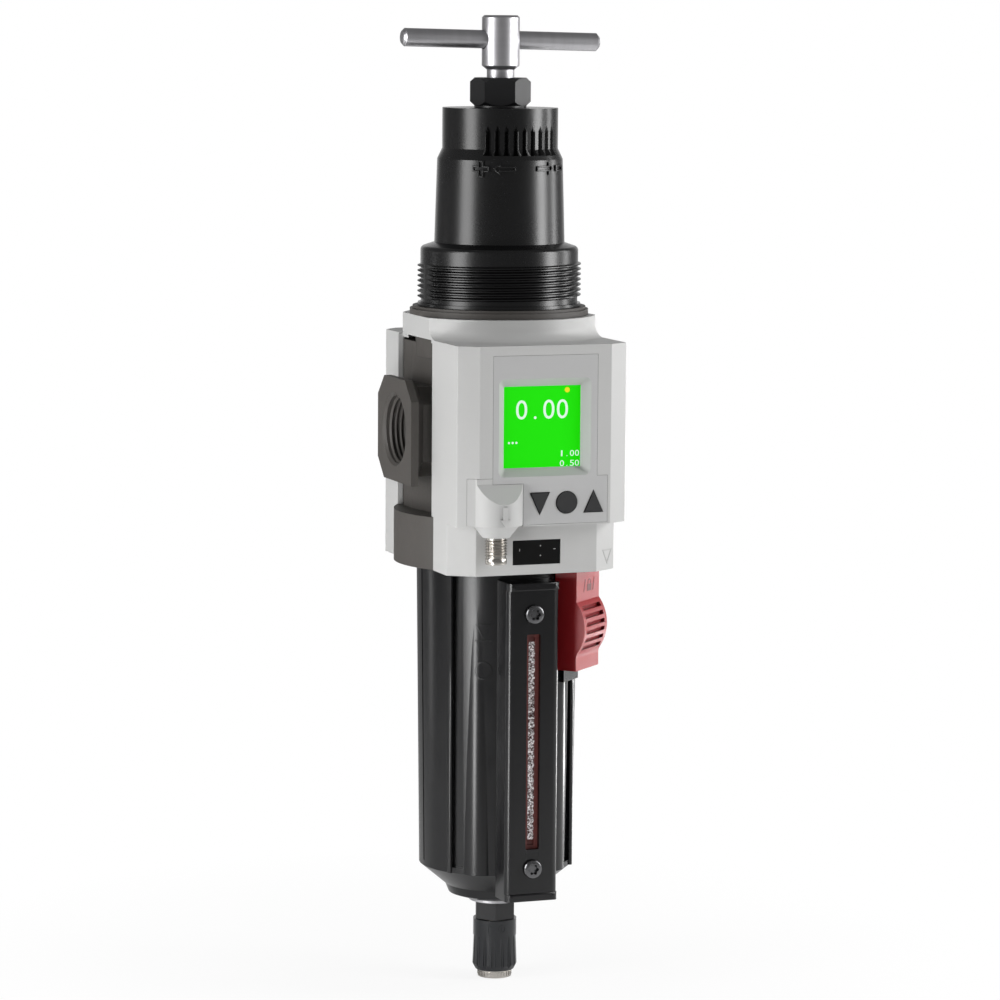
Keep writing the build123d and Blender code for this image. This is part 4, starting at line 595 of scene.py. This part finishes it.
def thickened(piece, thickness, sunk=0.0):
    """Gives a flat face its thickness, with its back sunk into what carries it."""
    apply_modifier(piece, "SOLIDIFY", thickness=thickness + sunk, offset=1.0)
    piece.data.transform(Matrix.Translation((0, 0, -sunk)))
    return piece


def moved(piece, across, up):
    """Moves a flat mark in its own plane, in millimetres."""
    piece.data.transform(Matrix.Translation((across * MM, up * MM, 0)))
    return piece


def outward(turn):
    """Level direction at an angle from the front."""
    return Vector((math.sin(turn), -math.cos(turn), 0))


def facing(turn, origin):
    """Matrix that stands a flat piece up to face an angle from the front, at an origin."""
    right = Vector((math.cos(turn), math.sin(turn), 0))
    stand = Matrix((right, (0, 0, 1), outward(turn))).transposed().to_4x4()
    return Matrix.Translation(Vector(origin)) @ stand


def wrapped(piece, azimuth, height, radius, lean=0.0, centre=(0.0, 0.0)):
    """Lays a flat piece round an upright cylinder, or a cone with the lean it loses going up."""
    for vertex in piece.data.vertices:
        across, up, out = vertex.co
        here = radius - lean * up + out
        turn = math.radians(azimuth) + across / radius
        vertex.co = (centre[0] + here * math.sin(turn), centre[1] - here * math.cos(turn),
                     height + up)
    return piece


def thread_ridge(axis, centre, sizes, root, first, last, steps=72):
    """Closed helical ridge round the X or Z axis, from the first to the last middle."""
    begin()
    bpy.ops.mesh.primitive_circle_add(vertices=4, fill_type="NOTHING", location=centre)
    piece = bpy.context.object
    crest, pitch = sizes.crest, sizes.pitch
    foot, tip = pitch * 0.46, pitch * 0.09  # half the ridge's width at its foot and at its tip
    section = ((root, -foot), (crest, -tip), (crest, tip), (root, foot))
    for vertex, (radius, along) in zip(piece.data.vertices, section):
        vertex.co = (first + along, 0, radius) if axis == "X" else (0, radius, first + along)
    turns = (last - first) / pitch
    apply_modifier(piece, "SCREW", axis=axis, angle=2 * math.pi * turns, screw_offset=pitch * turns,
                   steps=round(steps * turns), render_steps=round(steps * turns),
                   use_smooth_shade=False)
    with editing():
        bpy.ops.mesh.fill_holes(sides=4)
        tidy_normals()
    return piece


# -------- operators

THREAD_SMOOTH = math.radians(25)
IN_WALL = 0.1 * MM  # depth that a port thread's foot goes into the wall


class REGULATOR_OT_finishes(bpy.types.Operator):
    """Give every part of the CAD frame its finish"""
    bl_idname = "regulator.finishes"
    bl_label = "Finishes"

    def execute(self, context):
        FINISHES.update(make_finishes(context.scene.regulator_colours))
        slots = {row["node"]: row["material_slot"] for row in frame["record"]["subparts"]}
        for name, node in frame["nodes"].items():
            node.data.materials.clear()
            node.data.materials.append(FINISHES[NODE_VARIANTS.get(name, slots[name])])
        return {"FINISHED"}


class REGULATOR_OT_panel_thread(bpy.types.Operator):
    """Cut the coarse thread on the bonnet, with a flat on each side"""
    bl_idname = "regulator.panel_thread"
    bl_label = "Panel thread"

    def execute(self, context):
        sizes = context.scene.regulator_panel_thread
        top = sizes.bottom + sizes.turns * sizes.pitch
        piece = thread_ridge("Z", (0, 0, 0), sizes, sizes.root, sizes.bottom, top, 96)
        with editing():
            for side in (-1, 1):
                bpy.ops.mesh.select_all(action="SELECT")
                bpy.ops.mesh.bisect(plane_co=(side * sizes.flat, 0, 0), plane_no=(side, 0, 0),
                                    use_fill=True, clear_outer=True)
            tidy_normals()
        deliver(piece, "panel_thread_ridges", "bonnet_black", smooth=THREAD_SMOOTH)
        return {"FINISHED"}


class REGULATOR_OT_port_threads(bpy.types.Operator):
    """Cut the thread inside each port"""
    bl_idname = "regulator.port_threads"
    bl_label = "Port threads"

    def execute(self, context):
        sizes = context.scene.regulator_port_thread
        for side, name in ((-1, "inlet_thread"), (1, "outlet_thread")):
            first, last = sorted((side * sizes.first, side * sizes.last))
            piece = thread_ridge("X", (0, 0, 0), sizes, sizes.wall + IN_WALL, first, last)
            deliver(piece, name, "casting_grey", smooth=THREAD_SMOOTH)
        return {"FINISHED"}


class REGULATOR_OT_connector_thread(bpy.types.Operator):
    """Cut the fine thread on the cable connector, with the plain sleeve below it"""
    bl_idname = "regulator.connector_thread"
    bl_label = "Connector thread"

    def execute(self, context):
        sizes = context.scene.regulator_connector
        centre = (sizes.across, sizes.along, 0)
        piece = thread_ridge("Z", centre, sizes, sizes.root, sizes.bottom, sizes.top, 48)
        deliver(piece, "connector_thread", "nickel", smooth=THREAD_SMOOTH)
        begin()
        bpy.ops.mesh.primitive_cylinder_add(
            vertices=48, radius=sizes.sleeve, depth=sizes.sleeve_tall, end_fill_type="NOTHING",
            location=(sizes.across, sizes.along, sizes.sleeve_middle))
        sleeve = bpy.context.object
        with editing():
            bpy.ops.mesh.flip_normals()
        apply_modifier(sleeve, "SOLIDIFY", thickness=sizes.sleeve_wall, offset=1.0)
        apply_modifier(sleeve, "BEVEL", width=0.18 * MM, segments=2, limit_method="ANGLE")
        with editing():
            tidy_normals()
        deliver(sleeve, "connector_sleeve", "nickel")
        return {"FINISHED"}


def figure(character, left, base, width, height):
    """One figure of the display, as a flat mesh that fills its own box in the local plane."""
    begin()
    bpy.ops.object.text_add()
    letter = bpy.context.object
    letter.data.body = character
    letter.data.resolution_u = 6
    bpy.ops.object.convert(target="MESH")
    piece = bpy.context.object
    across = [vertex.co.x for vertex in piece.data.vertices]
    up = [vertex.co.y for vertex in piece.data.vertices]
    wide, tall = max(across) - min(across), max(up) - min(up)
    for vertex in piece.data.vertices:
        vertex.co = (left + (vertex.co.x - min(across)) / wide * width,
                     base + (vertex.co.y - min(up)) / tall * height, 0)
    return piece


def figures(text, left, base, cell, height):
    """Row of figures in equal cells."""
    row = []
    for number, character in enumerate(text):
        spot = left + number * cell
        if character == ".":
            side = height * 0.15
            row.append(figure(character, spot + (cell - side) / 2, base, side, side))
        elif character == "1":
            row.append(figure(character, spot + cell * 0.3, base, cell * 0.3, height))
        else:
            row.append(figure(character, spot + cell * 0.09, base, cell * 0.82, height))
    return row


def arc(radius, across, up, start, sweep, parts):
    """Points along an arc, in millimetres: one more than its parts."""
    turns = [start + sweep * number / parts for number in range(parts + 1)]
    return [(across + radius * math.cos(turn), up + radius * math.sin(turn)) for turn in turns]


def disc(radius, across, up, corners=24):
    """Flat round face in the local plane, in millimetres."""
    return outline(arc(radius, across, up, 0.0, 2 * math.pi, corners)[:-1])


ROWS = (  # each row of figures: text, its lower left corner in millimetres, and its size
    ("0.00", -10.7, 7.25, "large"),
    ("1.00", 6.35, -6.3, "small"),
    ("0.50", 6.35, -9.85, "small"),
)
DOTS = (-12.8, -11.4, -10.0)  # places across of the three small dots, in millimetres
PRINT_SUNK = 0.02 * MM
FLAT = 0.1  # smoothing angle that leaves every edge of a flat mark sharp


class REGULATOR_OT_display_picture(bpy.types.Operator):
    """Lay the lit figures and dots on the screen"""
    bl_idname = "regulator.display_picture"
    bl_label = "Display picture"

    def execute(self, context):
        sizes = context.scene.regulator_display
        stand = facing(0, (0, sizes.face, 0))
        flat = []
        for text, left, base, kind in ROWS:
            flat += figures(text, left * MM, base * MM, getattr(sizes, kind + "_cell"),
                            getattr(sizes, kind))
        flat += [disc(0.42, across, -1.0, 12) for across in DOTS]
        picture = thickened(join(flat), sizes.proud, PRINT_SUNK)
        picture.data.transform(stand)
        deliver(picture, "display_figures", "screen", "figures", smooth=FLAT)
        lamp = thickened(disc(0.95, 9.1, 17.4), sizes.proud, PRINT_SUNK)
        lamp.data.transform(stand)
        deliver(lamp, "display_lamp_dot", "screen", "lamp_dot", smooth=FLAT)
        return {"FINISHED"}


def rounded_front(half, front, back, radius, steps=6):
    """Outline in millimetres of a block whose two front corners are round."""
    points = [(half, back), (-half, back)]
    for side, turns in ((-1, range(steps + 1)), (1, range(steps, -1, -1))):
        for number in turns:
            turn = math.pi / 2 * number / steps
            points.append((side * (half - radius + radius * math.cos(turn)),
                           front + radius - radius * math.sin(turn)))
    return points


class REGULATOR_OT_sight_cover(bpy.types.Operator):
    """Round the sight cover's upright edges, trim its lips, and close its window's ends"""
    bl_idname = "regulator.sight_cover"
    bl_label = "Sight cover"

    def execute(self, context):
        sizes = context.scene.regulator_sight_cover
        shell = added("sight_cover_shell", frame["nodes"]["sight_cover"].data.copy())
        choose(shell)
        with editing():
            tidy_normals()
        combine(shell, self.block(sizes), "INTERSECT")
        deliver(shell, "sight_cover_shell", "bowl_black", replaced=("sight_cover",))
        apply_modifier(shell, "WEIGHTED_NORMAL", keep_sharp=True, weight=100)
        self.window_ends()
        return {"FINISHED"}

    def block(self, sizes):
        """Rounded block that the cover is cut to, in three layers: lip, front and lip."""
        lowest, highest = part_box("sight_cover")
        foot, top = lowest[2], highest[2]
        back, lip_front = highest[1] / MM + 1, lowest[1] / MM
        front = lip_front + sizes.step / MM
        block = None
        for low, high, face in ((foot - MM, foot + sizes.lip, lip_front),
                                (foot + sizes.lip, top - sizes.lip, front),
                                (top - sizes.lip, top + MM, lip_front)):
            layer = outline(rounded_front(sizes.half_width / MM, face, back, sizes.corner / MM))
            apply_modifier(layer, "SOLIDIFY", thickness=high - low, offset=1.0)
            layer.data.transform(Matrix.Translation((0, 0, low)))
            if block:
                combine(block, layer, "UNION")
            else:
                block = layer
        return block

    def window_ends(self):
        """Small red blocks that close the window below and above the prism."""
        lowest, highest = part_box("sight_prism")
        tall, deep, overlap, set_back = 1.9 * MM, 2.0 * MM, 0.05 * MM, 0.4 * MM
        place = lowest[1] + deep / 2 + set_back
        ends = []
        for middle in (lowest[2] - tall / 2 + overlap, highest[2] + tall / 2 - overlap):
            begin()
            bpy.ops.mesh.primitive_cube_add(size=1, location=(0, place, middle),
                                            scale=(highest[0] - lowest[0], deep, tall))
            ends.append(bpy.context.object)
            bpy.ops.object.transform_apply(location=True, rotation=True, scale=True)
            apply_modifier(ends[-1], "BEVEL", width=0.25 * MM, segments=2)
        deliver(join(ends), "sight_window_ends", "gasket_red")


LOBE = (1.0, 0.97, 0.89, 0.78, 0.7, 0.78, 0.89, 0.97)  # shares of the socket's radius
HEAD_CORNERS = 6 * len(LOBE)


class REGULATOR_OT_cover_screws(bpy.types.Operator):
    """Model the two round-headed screws with six-lobe sockets"""
    bl_idname = "regulator.cover_screws"
    bl_label = "Cover screws"

    def execute(self, context):
        sizes = context.scene.regulator_screws
        heads = [self.head(sizes, height) for height in (sizes.upper, sizes.lower)]
        deliver(join(heads), "cover_screw_heads", "bowl_black", "screw_black",
                smooth=math.radians(28), replaced=("cover_screws",))
        return {"FINISHED"}

    def head(self, sizes, height):
        """Round head: domed rim, flat face and a socket with six lobes."""
        begin()
        bpy.ops.mesh.primitive_cylinder_add(vertices=HEAD_CORNERS, radius=sizes.radius,
                                            depth=2 * sizes.height)
        piece = bpy.context.object
        top = sizes.height - HAIR
        with editing():
            pick(lambda middle, normal: normal.z > 0.9)
            for inset in (0.25, 0.35):
                bpy.ops.mesh.inset(thickness=inset * MM)
            for width, drop in ((0.1, 0.55), (0.4, 0.18)):
                within = sizes.radius - width * MM
                pick(lambda spot: spot.z > top and spot.xy.length > within, "VERT")
                bpy.ops.transform.translate(value=(0, 0, -drop * MM))
            pick(lambda middle, normal: normal.z > 0.999)
            bpy.ops.mesh.inset(thickness=sizes.radius - 0.6 * MM - sizes.socket)
        for vertex in piece.data.vertices:
            spot = vertex.co
            if spot.z > top and spot.xy.length < sizes.socket + 0.05 * MM:
                number = round(math.atan2(spot.y, spot.x) / (2 * math.pi) * HEAD_CORNERS)
                reach = LOBE[number % len(LOBE)]
                vertex.co = (spot.x * reach, spot.y * reach, spot.z)
        with editing():
            pick(lambda middle, normal: middle.z > top and middle.xy.length < 0.2 * MM)
            bpy.ops.mesh.extrude_region_move(TRANSFORM_OT_translate={"value": (0, 0, -1.25 * MM)})
            tidy_normals()
        piece.data.transform(facing(0, (0, sizes.face, height)))
        return piece


# Outlines of the marks, in millimetres. Long sides have extra points, to follow a curve.
PLUS = ((-1.1, 3.0), (-1.1, 1.1), (-3.2, 1.1), (-3.2, -1.1), (-1.1, -1.1), (-1.1, -3.0),
        (1.1, -3.0), (1.1, -1.1), (3.2, -1.1), (3.2, 1.1), (1.1, 1.1), (1.1, 3.0))
MINUS = ((-2.6, 1.1), (-2.6, -1.1), (0.0, -1.1), (2.6, -1.1), (2.6, 1.1), (0.0, 1.1))
ARROW = ((-4.0, 0.0), (-1.3, -2.4), (-1.3, -1.0), (1.0, -1.0), (4.0, -1.0),
         (4.0, 1.0), (1.0, 1.0), (-1.3, 1.0), (-1.3, 2.4))
SHORT_ARROW = ((0.0, -3.4), (1.9, -1.0), (0.85, -1.0), (0.85, 3.4),
               (-0.85, 3.4), (-0.85, -1.0), (-1.9, -1.0))
TRIANGLE = ((-3.0, 2.6), (0.0, -2.8), (3.0, 2.6))
SUNK = 0.3 * MM  # depth that a cast mark's back goes into what carries it


def turned_over(points):
    """The same outline, mirrored left to right."""
    return [(-across, up) for across, up in reversed(points)]


BONNET_MARKS = ((PLUS, -37.0), (ARROW, -16.0), (turned_over(ARROW), 25.0), (MINUS, 46.0))
CONE_MARKS_Z = 94.7 * MM
CONE_RADIUS = 22.88 * MM  # of the bonnet, at the height of its marks
CONE_LEAN = 0.9 / 30.3  # radius that it loses with each metre up


class REGULATOR_OT_bonnet_marks(bpy.types.Operator):
    """Cast the plus, minus and arrows on the bonnet"""
    bl_idname = "regulator.bonnet_marks"
    bl_label = "Bonnet marks"

    def execute(self, context):
        sizes = context.scene.regulator_marks
        marks = []
        for points, azimuth in BONNET_MARKS:
            mark = thickened(ringed(outline(points), sizes.stroke), sizes.proud, SUNK)
            apply_modifier(mark, "BEVEL", width=0.22 * MM, segments=2, limit_method="ANGLE")
            marks.append(wrapped(mark, azimuth, CONE_MARKS_Z, CONE_RADIUS, CONE_LEAN))
        deliver(join(marks), "bonnet_marks", "bonnet_black")
        return {"FINISHED"}


HOUSING_ARROW_Z = -26.2 * MM
HOUSING_RADIUS = 9.3 * MM
LOWER_FACE_TURN = math.radians(34.1)  # of the slanted face at the front cover's lower corner
TRIANGLE_PLACE = (28.5 * MM, -37.47 * MM, -44.2 * MM)


class REGULATOR_OT_cover_marks(bpy.types.Operator):
    """Mould the arrow on the connector housing and the triangle on the lower front"""
    bl_idname = "regulator.cover_marks"
    bl_label = "Cover marks"

    def execute(self, context):
        marks, connector = context.scene.regulator_marks, context.scene.regulator_connector
        arrow = thickened(outline(SHORT_ARROW), marks.proud, SUNK)
        wrapped(arrow, 0.0, HOUSING_ARROW_Z, HOUSING_RADIUS,
                centre=(connector.across, connector.along))
        deliver(arrow, "housing_arrow", "cover_grey")
        triangle = thickened(ringed(outline(TRIANGLE), marks.stroke * 0.8), marks.fine, 0.1 * MM)
        triangle.data.transform(facing(LOWER_FACE_TURN, TRIANGLE_PLACE))
        # the triangle is a little darker than the cover: painted shade along its moulded edges
        deliver(triangle, "lower_front_triangle", "cover_grey", "mark_grey_painted_shade")
        return {"FINISHED"}


PLATE_MARKS = (  # place across and up, width and height, in millimetres
    (-6.4, -40.2, 0.22, 0.9), (1.55, -38.9, 0.4, 0.4),
    (1.55, -42.4, 0.4, 0.4), (6.9, -40.2, 0.8, 0.22),
)
PRINT = 0.03 * MM


def bar(width, tall):
    """Flat upright bar round the origin, in millimetres."""
    return outline([(-width / 2, -tall / 2), (width / 2, -tall / 2),
                    (width / 2, tall / 2), (-width / 2, tall / 2)])


class REGULATOR_OT_plate_marks(bpy.types.Operator):
    """Print the four small index marks on the black plate"""
    bl_idname = "regulator.plate_marks"
    bl_label = "Plate marks"

    def execute(self, context):
        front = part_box("inset_plate")[0][1]
        piece = join([moved(thickened(bar(width, tall), PRINT, PRINT), across, up)
                      for across, up, width, tall in PLATE_MARKS])
        piece.data.transform(facing(0, (0, front, 0)))
        deliver(piece, "plate_marks", "plate_black", "plate_marks")
        return {"FINISHED"}


STROKE = ((-3.6, -2.3), (-3.0, -2.3), (-1.8, 2.3), (-2.4, 2.3))
PADLOCK = ((-0.6, -2.2), (2.9, -2.2), (2.9, 0.3), (-0.6, 0.3))
LOCK_TURN = math.radians(43.5)  # direction that the lock's front faces
LOCK_FACE = 36.9 * MM  # distance of that front from the axis
LOCK_MARKS_Z = -56.0 * MM
LOCK_RAISED = 0.05 * MM


class REGULATOR_OT_lock_marks(bpy.types.Operator):
    """Mould the padlock sign between two slanted strokes on the lock slide"""
    bl_idname = "regulator.lock_marks"
    bl_label = "Lock marks"

    def execute(self, context):
        second = [(across + 7.5, up) for across, up in STROKE]
        shackle = [(2.4, 0.3), *arc(1.25, 1.15, 1.0, 0.0, math.pi, 12), (-0.1, 0.3),
                   (0.35, 0.3), *arc(0.8, 1.15, 1.0, math.pi, -math.pi, 12), (1.95, 0.3)]
        marks = [thickened(outline(points), LOCK_RAISED, LOCK_RAISED)
                 for points in (STROKE, PADLOCK, shackle, second)]
        piece = join(marks)
        place = outward(LOCK_TURN) * LOCK_FACE + Vector((0, 0, LOCK_MARKS_Z))
        piece.data.transform(facing(LOCK_TURN, place))
        deliver(piece, "lock_marks", "lock_red", "lock_mark", "lock_slide")
        return {"FINISHED"}


KNOB_RADIUS = 8.0 * MM
KNOB_MARKS_DOWN = 2.9 * MM  # from the knob's top to its marks
KNOB_MARKS = (  # outline in millimetres, and azimuth
    (((-1.2, 1.5), (-0.8, 1.5), (-0.8, -1.5), (-1.2, -1.5)), -31.0),
    (((-0.5, 1.5), (0.9, 0.6), (-0.3, 0.2)), -31.0),
    (((-0.35, 0.8), (0.55, 0.0), (-0.35, -0.8)), 0.5),
)
FINE_STROKE = 0.35 * MM
TAIL_RADIUS = 6.22 * MM
TAIL_CORNERS = 96


class REGULATOR_OT_drain_details(bpy.types.Operator):
    """Mould the marks on the drain knob and the notched end of the drain tail"""
    bl_idname = "regulator.drain_details"
    bl_label = "Drain details"

    def execute(self, context):
        self.knob_marks(context.scene.regulator_marks)
        self.tail()
        return {"FINISHED"}

    def knob_marks(self, sizes):
        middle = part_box("drain_knob")[1][2] - KNOB_MARKS_DOWN
        flat = [(outline(points), azimuth) for points, azimuth in KNOB_MARKS]
        flat.insert(2, (ringed(disc(1.45, 0, 0, 20), FINE_STROKE), 0.5))
        marks = [wrapped(thickened(mark, sizes.fine, SUNK), azimuth, middle, KNOB_RADIUS)
                 for mark, azimuth in flat]
        deliver(join(marks), "drain_knob_marks", "knob_black", body="drain_knob")

    def tail(self):
        """Thin ring round the tail's end, with a raised part on two of each three faces."""
        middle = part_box("drain_stem")[0][2] + 1.35 * MM
        begin()
        bpy.ops.mesh.primitive_cylinder_add(
            vertices=TAIL_CORNERS, radius=TAIL_RADIUS, depth=1.5 * MM, end_fill_type="NOTHING",
            location=(0, 0, middle))
        tail = bpy.context.object
        with editing():
            pick(self.raised)
            bpy.ops.mesh.extrude_region_shrink_fatten(
                TRANSFORM_OT_shrink_fatten={"value": 0.16 * MM})
        apply_modifier(tail, "SOLIDIFY", thickness=0.3 * MM, offset=-1.0)
        with editing():
            tidy_normals()
        deliver(tail, "drain_tail_notches", "nickel", smooth=math.radians(10))

    @staticmethod
    def raised(centre, normal):
        """Whether a face of the tail's ring is one of those that stand out."""
        turn = (math.atan2(centre.y, centre.x) + math.pi) / (2 * math.pi)
        return int(turn * TAIL_CORNERS) % 3 > 0


LEVEL_LINE = ((-3.0, -0.2), (0.0, -0.2), (3.0, -0.2), (3.0, 0.2), (0.0, 0.2), (-3.0, 0.2))
LEVEL_STROKE = 0.4 * MM
LEVEL_AZIMUTH = -29.5
LEVEL_Z = -74.9 * MM
BOWL_RADIUS = 29.35 * MM  # at the height of the marks


class REGULATOR_OT_bowl_marks(bpy.types.Operator):
    """Cast the plain level marks on the bowl"""
    bl_idname = "regulator.bowl_marks"
    bl_label = "Bowl marks"

    def execute(self, context):
        line = outline(LEVEL_LINE)
        ring = moved(ringed(disc(3.3, 0, 0, 28), LEVEL_STROKE), 0, -11.0)
        pointer = moved(ringed(outline(TRIANGLE), LEVEL_STROKE), 0, 3.4)
        marks = [thickened(mark, 0.2 * MM, 0.5 * MM) for mark in (line, ring, pointer)]
        piece = wrapped(join(marks), LEVEL_AZIMUTH, LEVEL_Z, BOWL_RADIUS)
        deliver(piece, "bowl_level_marks", "bowl_black")
        return {"FINISHED"}


# Each lamp: name, azimuth in degrees, distance, height of its middle, width and height in
# metres, and share of the brightness.
LAMPS = (
    ("key_high", -80, 0.60, 0.13, 0.26, 0.44, 0.62),
    ("key_low", -54, 0.32, -0.150, 0.065, 0.14, 1.1),
    ("side_high", 60, 0.60, 0.14, 0.20, 0.44, 0.95),
    ("side_back", 92, 0.60, 0.14, 0.10, 0.44, 0.6),
    ("side_low", 121, 0.40, -0.14, 0.09, 0.16, 1.2),
    ("rim", -128, 0.60, -0.10, 0.03, 0.24, 0.4),
)


class REGULATOR_OT_studio(bpy.types.Operator):
    """Set up the camera, the soft lights, the pale floor and the white surroundings"""
    bl_idname = "regulator.studio"
    bl_label = "Studio"

    def execute(self, context):
        setup = context.scene.regulator_studio
        context.scene.view_settings.view_transform = "Standard"
        self.camera(context, setup)
        self.surroundings(context, setup)
        for lamp in LAMPS:
            self.light(setup, *lamp)
        self.floor(setup)
        return {"FINISHED"}

    def back(self, setup):
        """Direction from the object to the camera."""
        level = outward(setup.azimuth) * math.cos(setup.elevation)
        return level + Vector((0, 0, math.sin(setup.elevation)))

    def camera(self, context, setup):
        data = bpy.data.cameras.new("photo_camera")
        camera = added("photo_camera", data)
        back = self.back(setup)
        camera.location = Vector(setup.aim) + back * setup.distance
        turn = (-back).to_track_quat("-Z", "Y").to_matrix() @ Matrix.Rotation(setup.roll, 3, "Z")
        camera.rotation_euler = turn.to_euler()
        data.lens = setup.lens
        data.sensor_width = 36.0
        context.scene.camera = camera

    def surroundings(self, context, setup):
        world = bpy.data.worlds.new("studio")
        context.scene.world = world
        nodes = Nodes(world)
        even = nodes.node("ShaderNodeBackground", {}, WHITE, setup.sky)
        white = nodes.node("ShaderNodeBackground", {}, WHITE, 1.0)
        forward = -self.back(setup)
        heading = nodes.node("ShaderNodeTexCoord", {}, output="Generated")
        ahead = nodes.node("ShaderNodeVectorMath", {"operation": "DOT_PRODUCT"}, heading, forward,
                           output="Value")
        backdrop = ((ahead - 0.8) * 6.0).held()  # 1 towards the backdrop, 0 elsewhere
        seen, mirrored, through = [
            nodes.node("ShaderNodeLightPath", {}, output=f"Is {kind} Ray")
            for kind in ("Camera", "Glossy", "Transmission")]
        share_white = (seen + (mirrored + through) * backdrop).held()
        mixed = nodes.node("ShaderNodeMixShader", {}, share_white, even, white)
        nodes.tree.links.new(mixed.socket, nodes.tree.nodes["World Output"].inputs["Surface"])

    def light(self, setup, name, azimuth, distance, height, wide, tall, bright):
        """Upright soft lamp that faces the object's axis."""
        data = bpy.data.lights.new(name, "AREA")
        data.shape = "RECTANGLE"
        data.energy = setup.lamps * bright * math.pi * wide * tall
        data.size, data.size_y = wide, tall
        lamp = added(name, data)
        way = outward(math.radians(azimuth))
        lamp.location = way * distance + Vector((0, 0, height))
        lamp.rotation_euler = (-way).to_track_quat("-Z", "Y").to_euler()
        lamp.visible_camera = False

    def floor(self, setup):
        """Pale floor that the camera sees go white with distance, so that only a shadow shows."""
        begin()
        bpy.ops.mesh.primitive_plane_add(size=setup.floor_size,
                                         location=(0, 0, cad_box[0][2] - 0.3 * MM))
        floor = bpy.context.object
        floor.name = "floor"
        finish = Finish("floor", (0.9, 0.9, 0.9), 0.8)
        across, along = finish.part("X"), finish.part("Y")
        distance = (across * across + along * along) ** 0.5
        rays = finish.node("ShaderNodeLightPath", {}, output="Is Camera Ray")
        clear = rays * (0.86 + distance * 0.6).held()
        white = finish.node("ShaderNodeEmission", {}, WHITE, 1.0)
        lit_floor = Wire(finish, finish.shader.outputs[0])
        mixed = finish.node("ShaderNodeMixShader", {}, clear, lit_floor, white)
        finish.tree.links.new(mixed.socket, finish.tree.nodes["Material Output"].inputs["Surface"])
        floor.data.materials.append(finish.material)


# -------- panel and registration

STEPS = (
    REGULATOR_OT_finishes, REGULATOR_OT_panel_thread, REGULATOR_OT_port_threads,
    REGULATOR_OT_connector_thread, REGULATOR_OT_display_picture, REGULATOR_OT_sight_cover,
    REGULATOR_OT_cover_screws, REGULATOR_OT_bonnet_marks, REGULATOR_OT_cover_marks,
    REGULATOR_OT_plate_marks, REGULATOR_OT_lock_marks, REGULATOR_OT_drain_details,
    REGULATOR_OT_bowl_marks, REGULATOR_OT_studio,
)
GROUPS = {
    "regulator_colours": RegulatorColours,
    "regulator_panel_thread": PanelThreadSizes,
    "regulator_port_thread": PortThreadSizes,
    "regulator_connector": ConnectorSizes,
    "regulator_display": DisplaySizes,
    "regulator_marks": MarkSizes,
    "regulator_sight_cover": SightCoverSizes,
    "regulator_screws": ScrewHeadSizes,
    "regulator_studio": StudioSetup,
}


class REGULATOR_PT_sidebar(bpy.types.Panel):
    """Lists the regulator's operators"""
    bl_idname = "REGULATOR_PT_sidebar"
    bl_label = "Filter regulator"
    bl_space_type = "VIEW_3D"
    bl_region_type = "UI"
    bl_category = "Regulator"

    def draw(self, context):
        for step in STEPS:
            self.layout.operator(step.bl_idname)


def register():
    for group in (*GROUPS.values(), *STEPS, REGULATOR_PT_sidebar):
        bpy.utils.register_class(group)
    for name, group in GROUPS.items():
        setattr(bpy.types.Scene, name, PointerProperty(type=group))


def unregister():
    for name in GROUPS:
        delattr(bpy.types.Scene, name)
    for group in (REGULATOR_PT_sidebar, *reversed(STEPS), *reversed(GROUPS.values())):
        bpy.utils.unregister_class(group)


def main():
    register()
    for step in STEPS:
        getattr(bpy.ops.regulator, step.bl_idname.split(".")[1])()


if __name__ == "__main__":
    main()
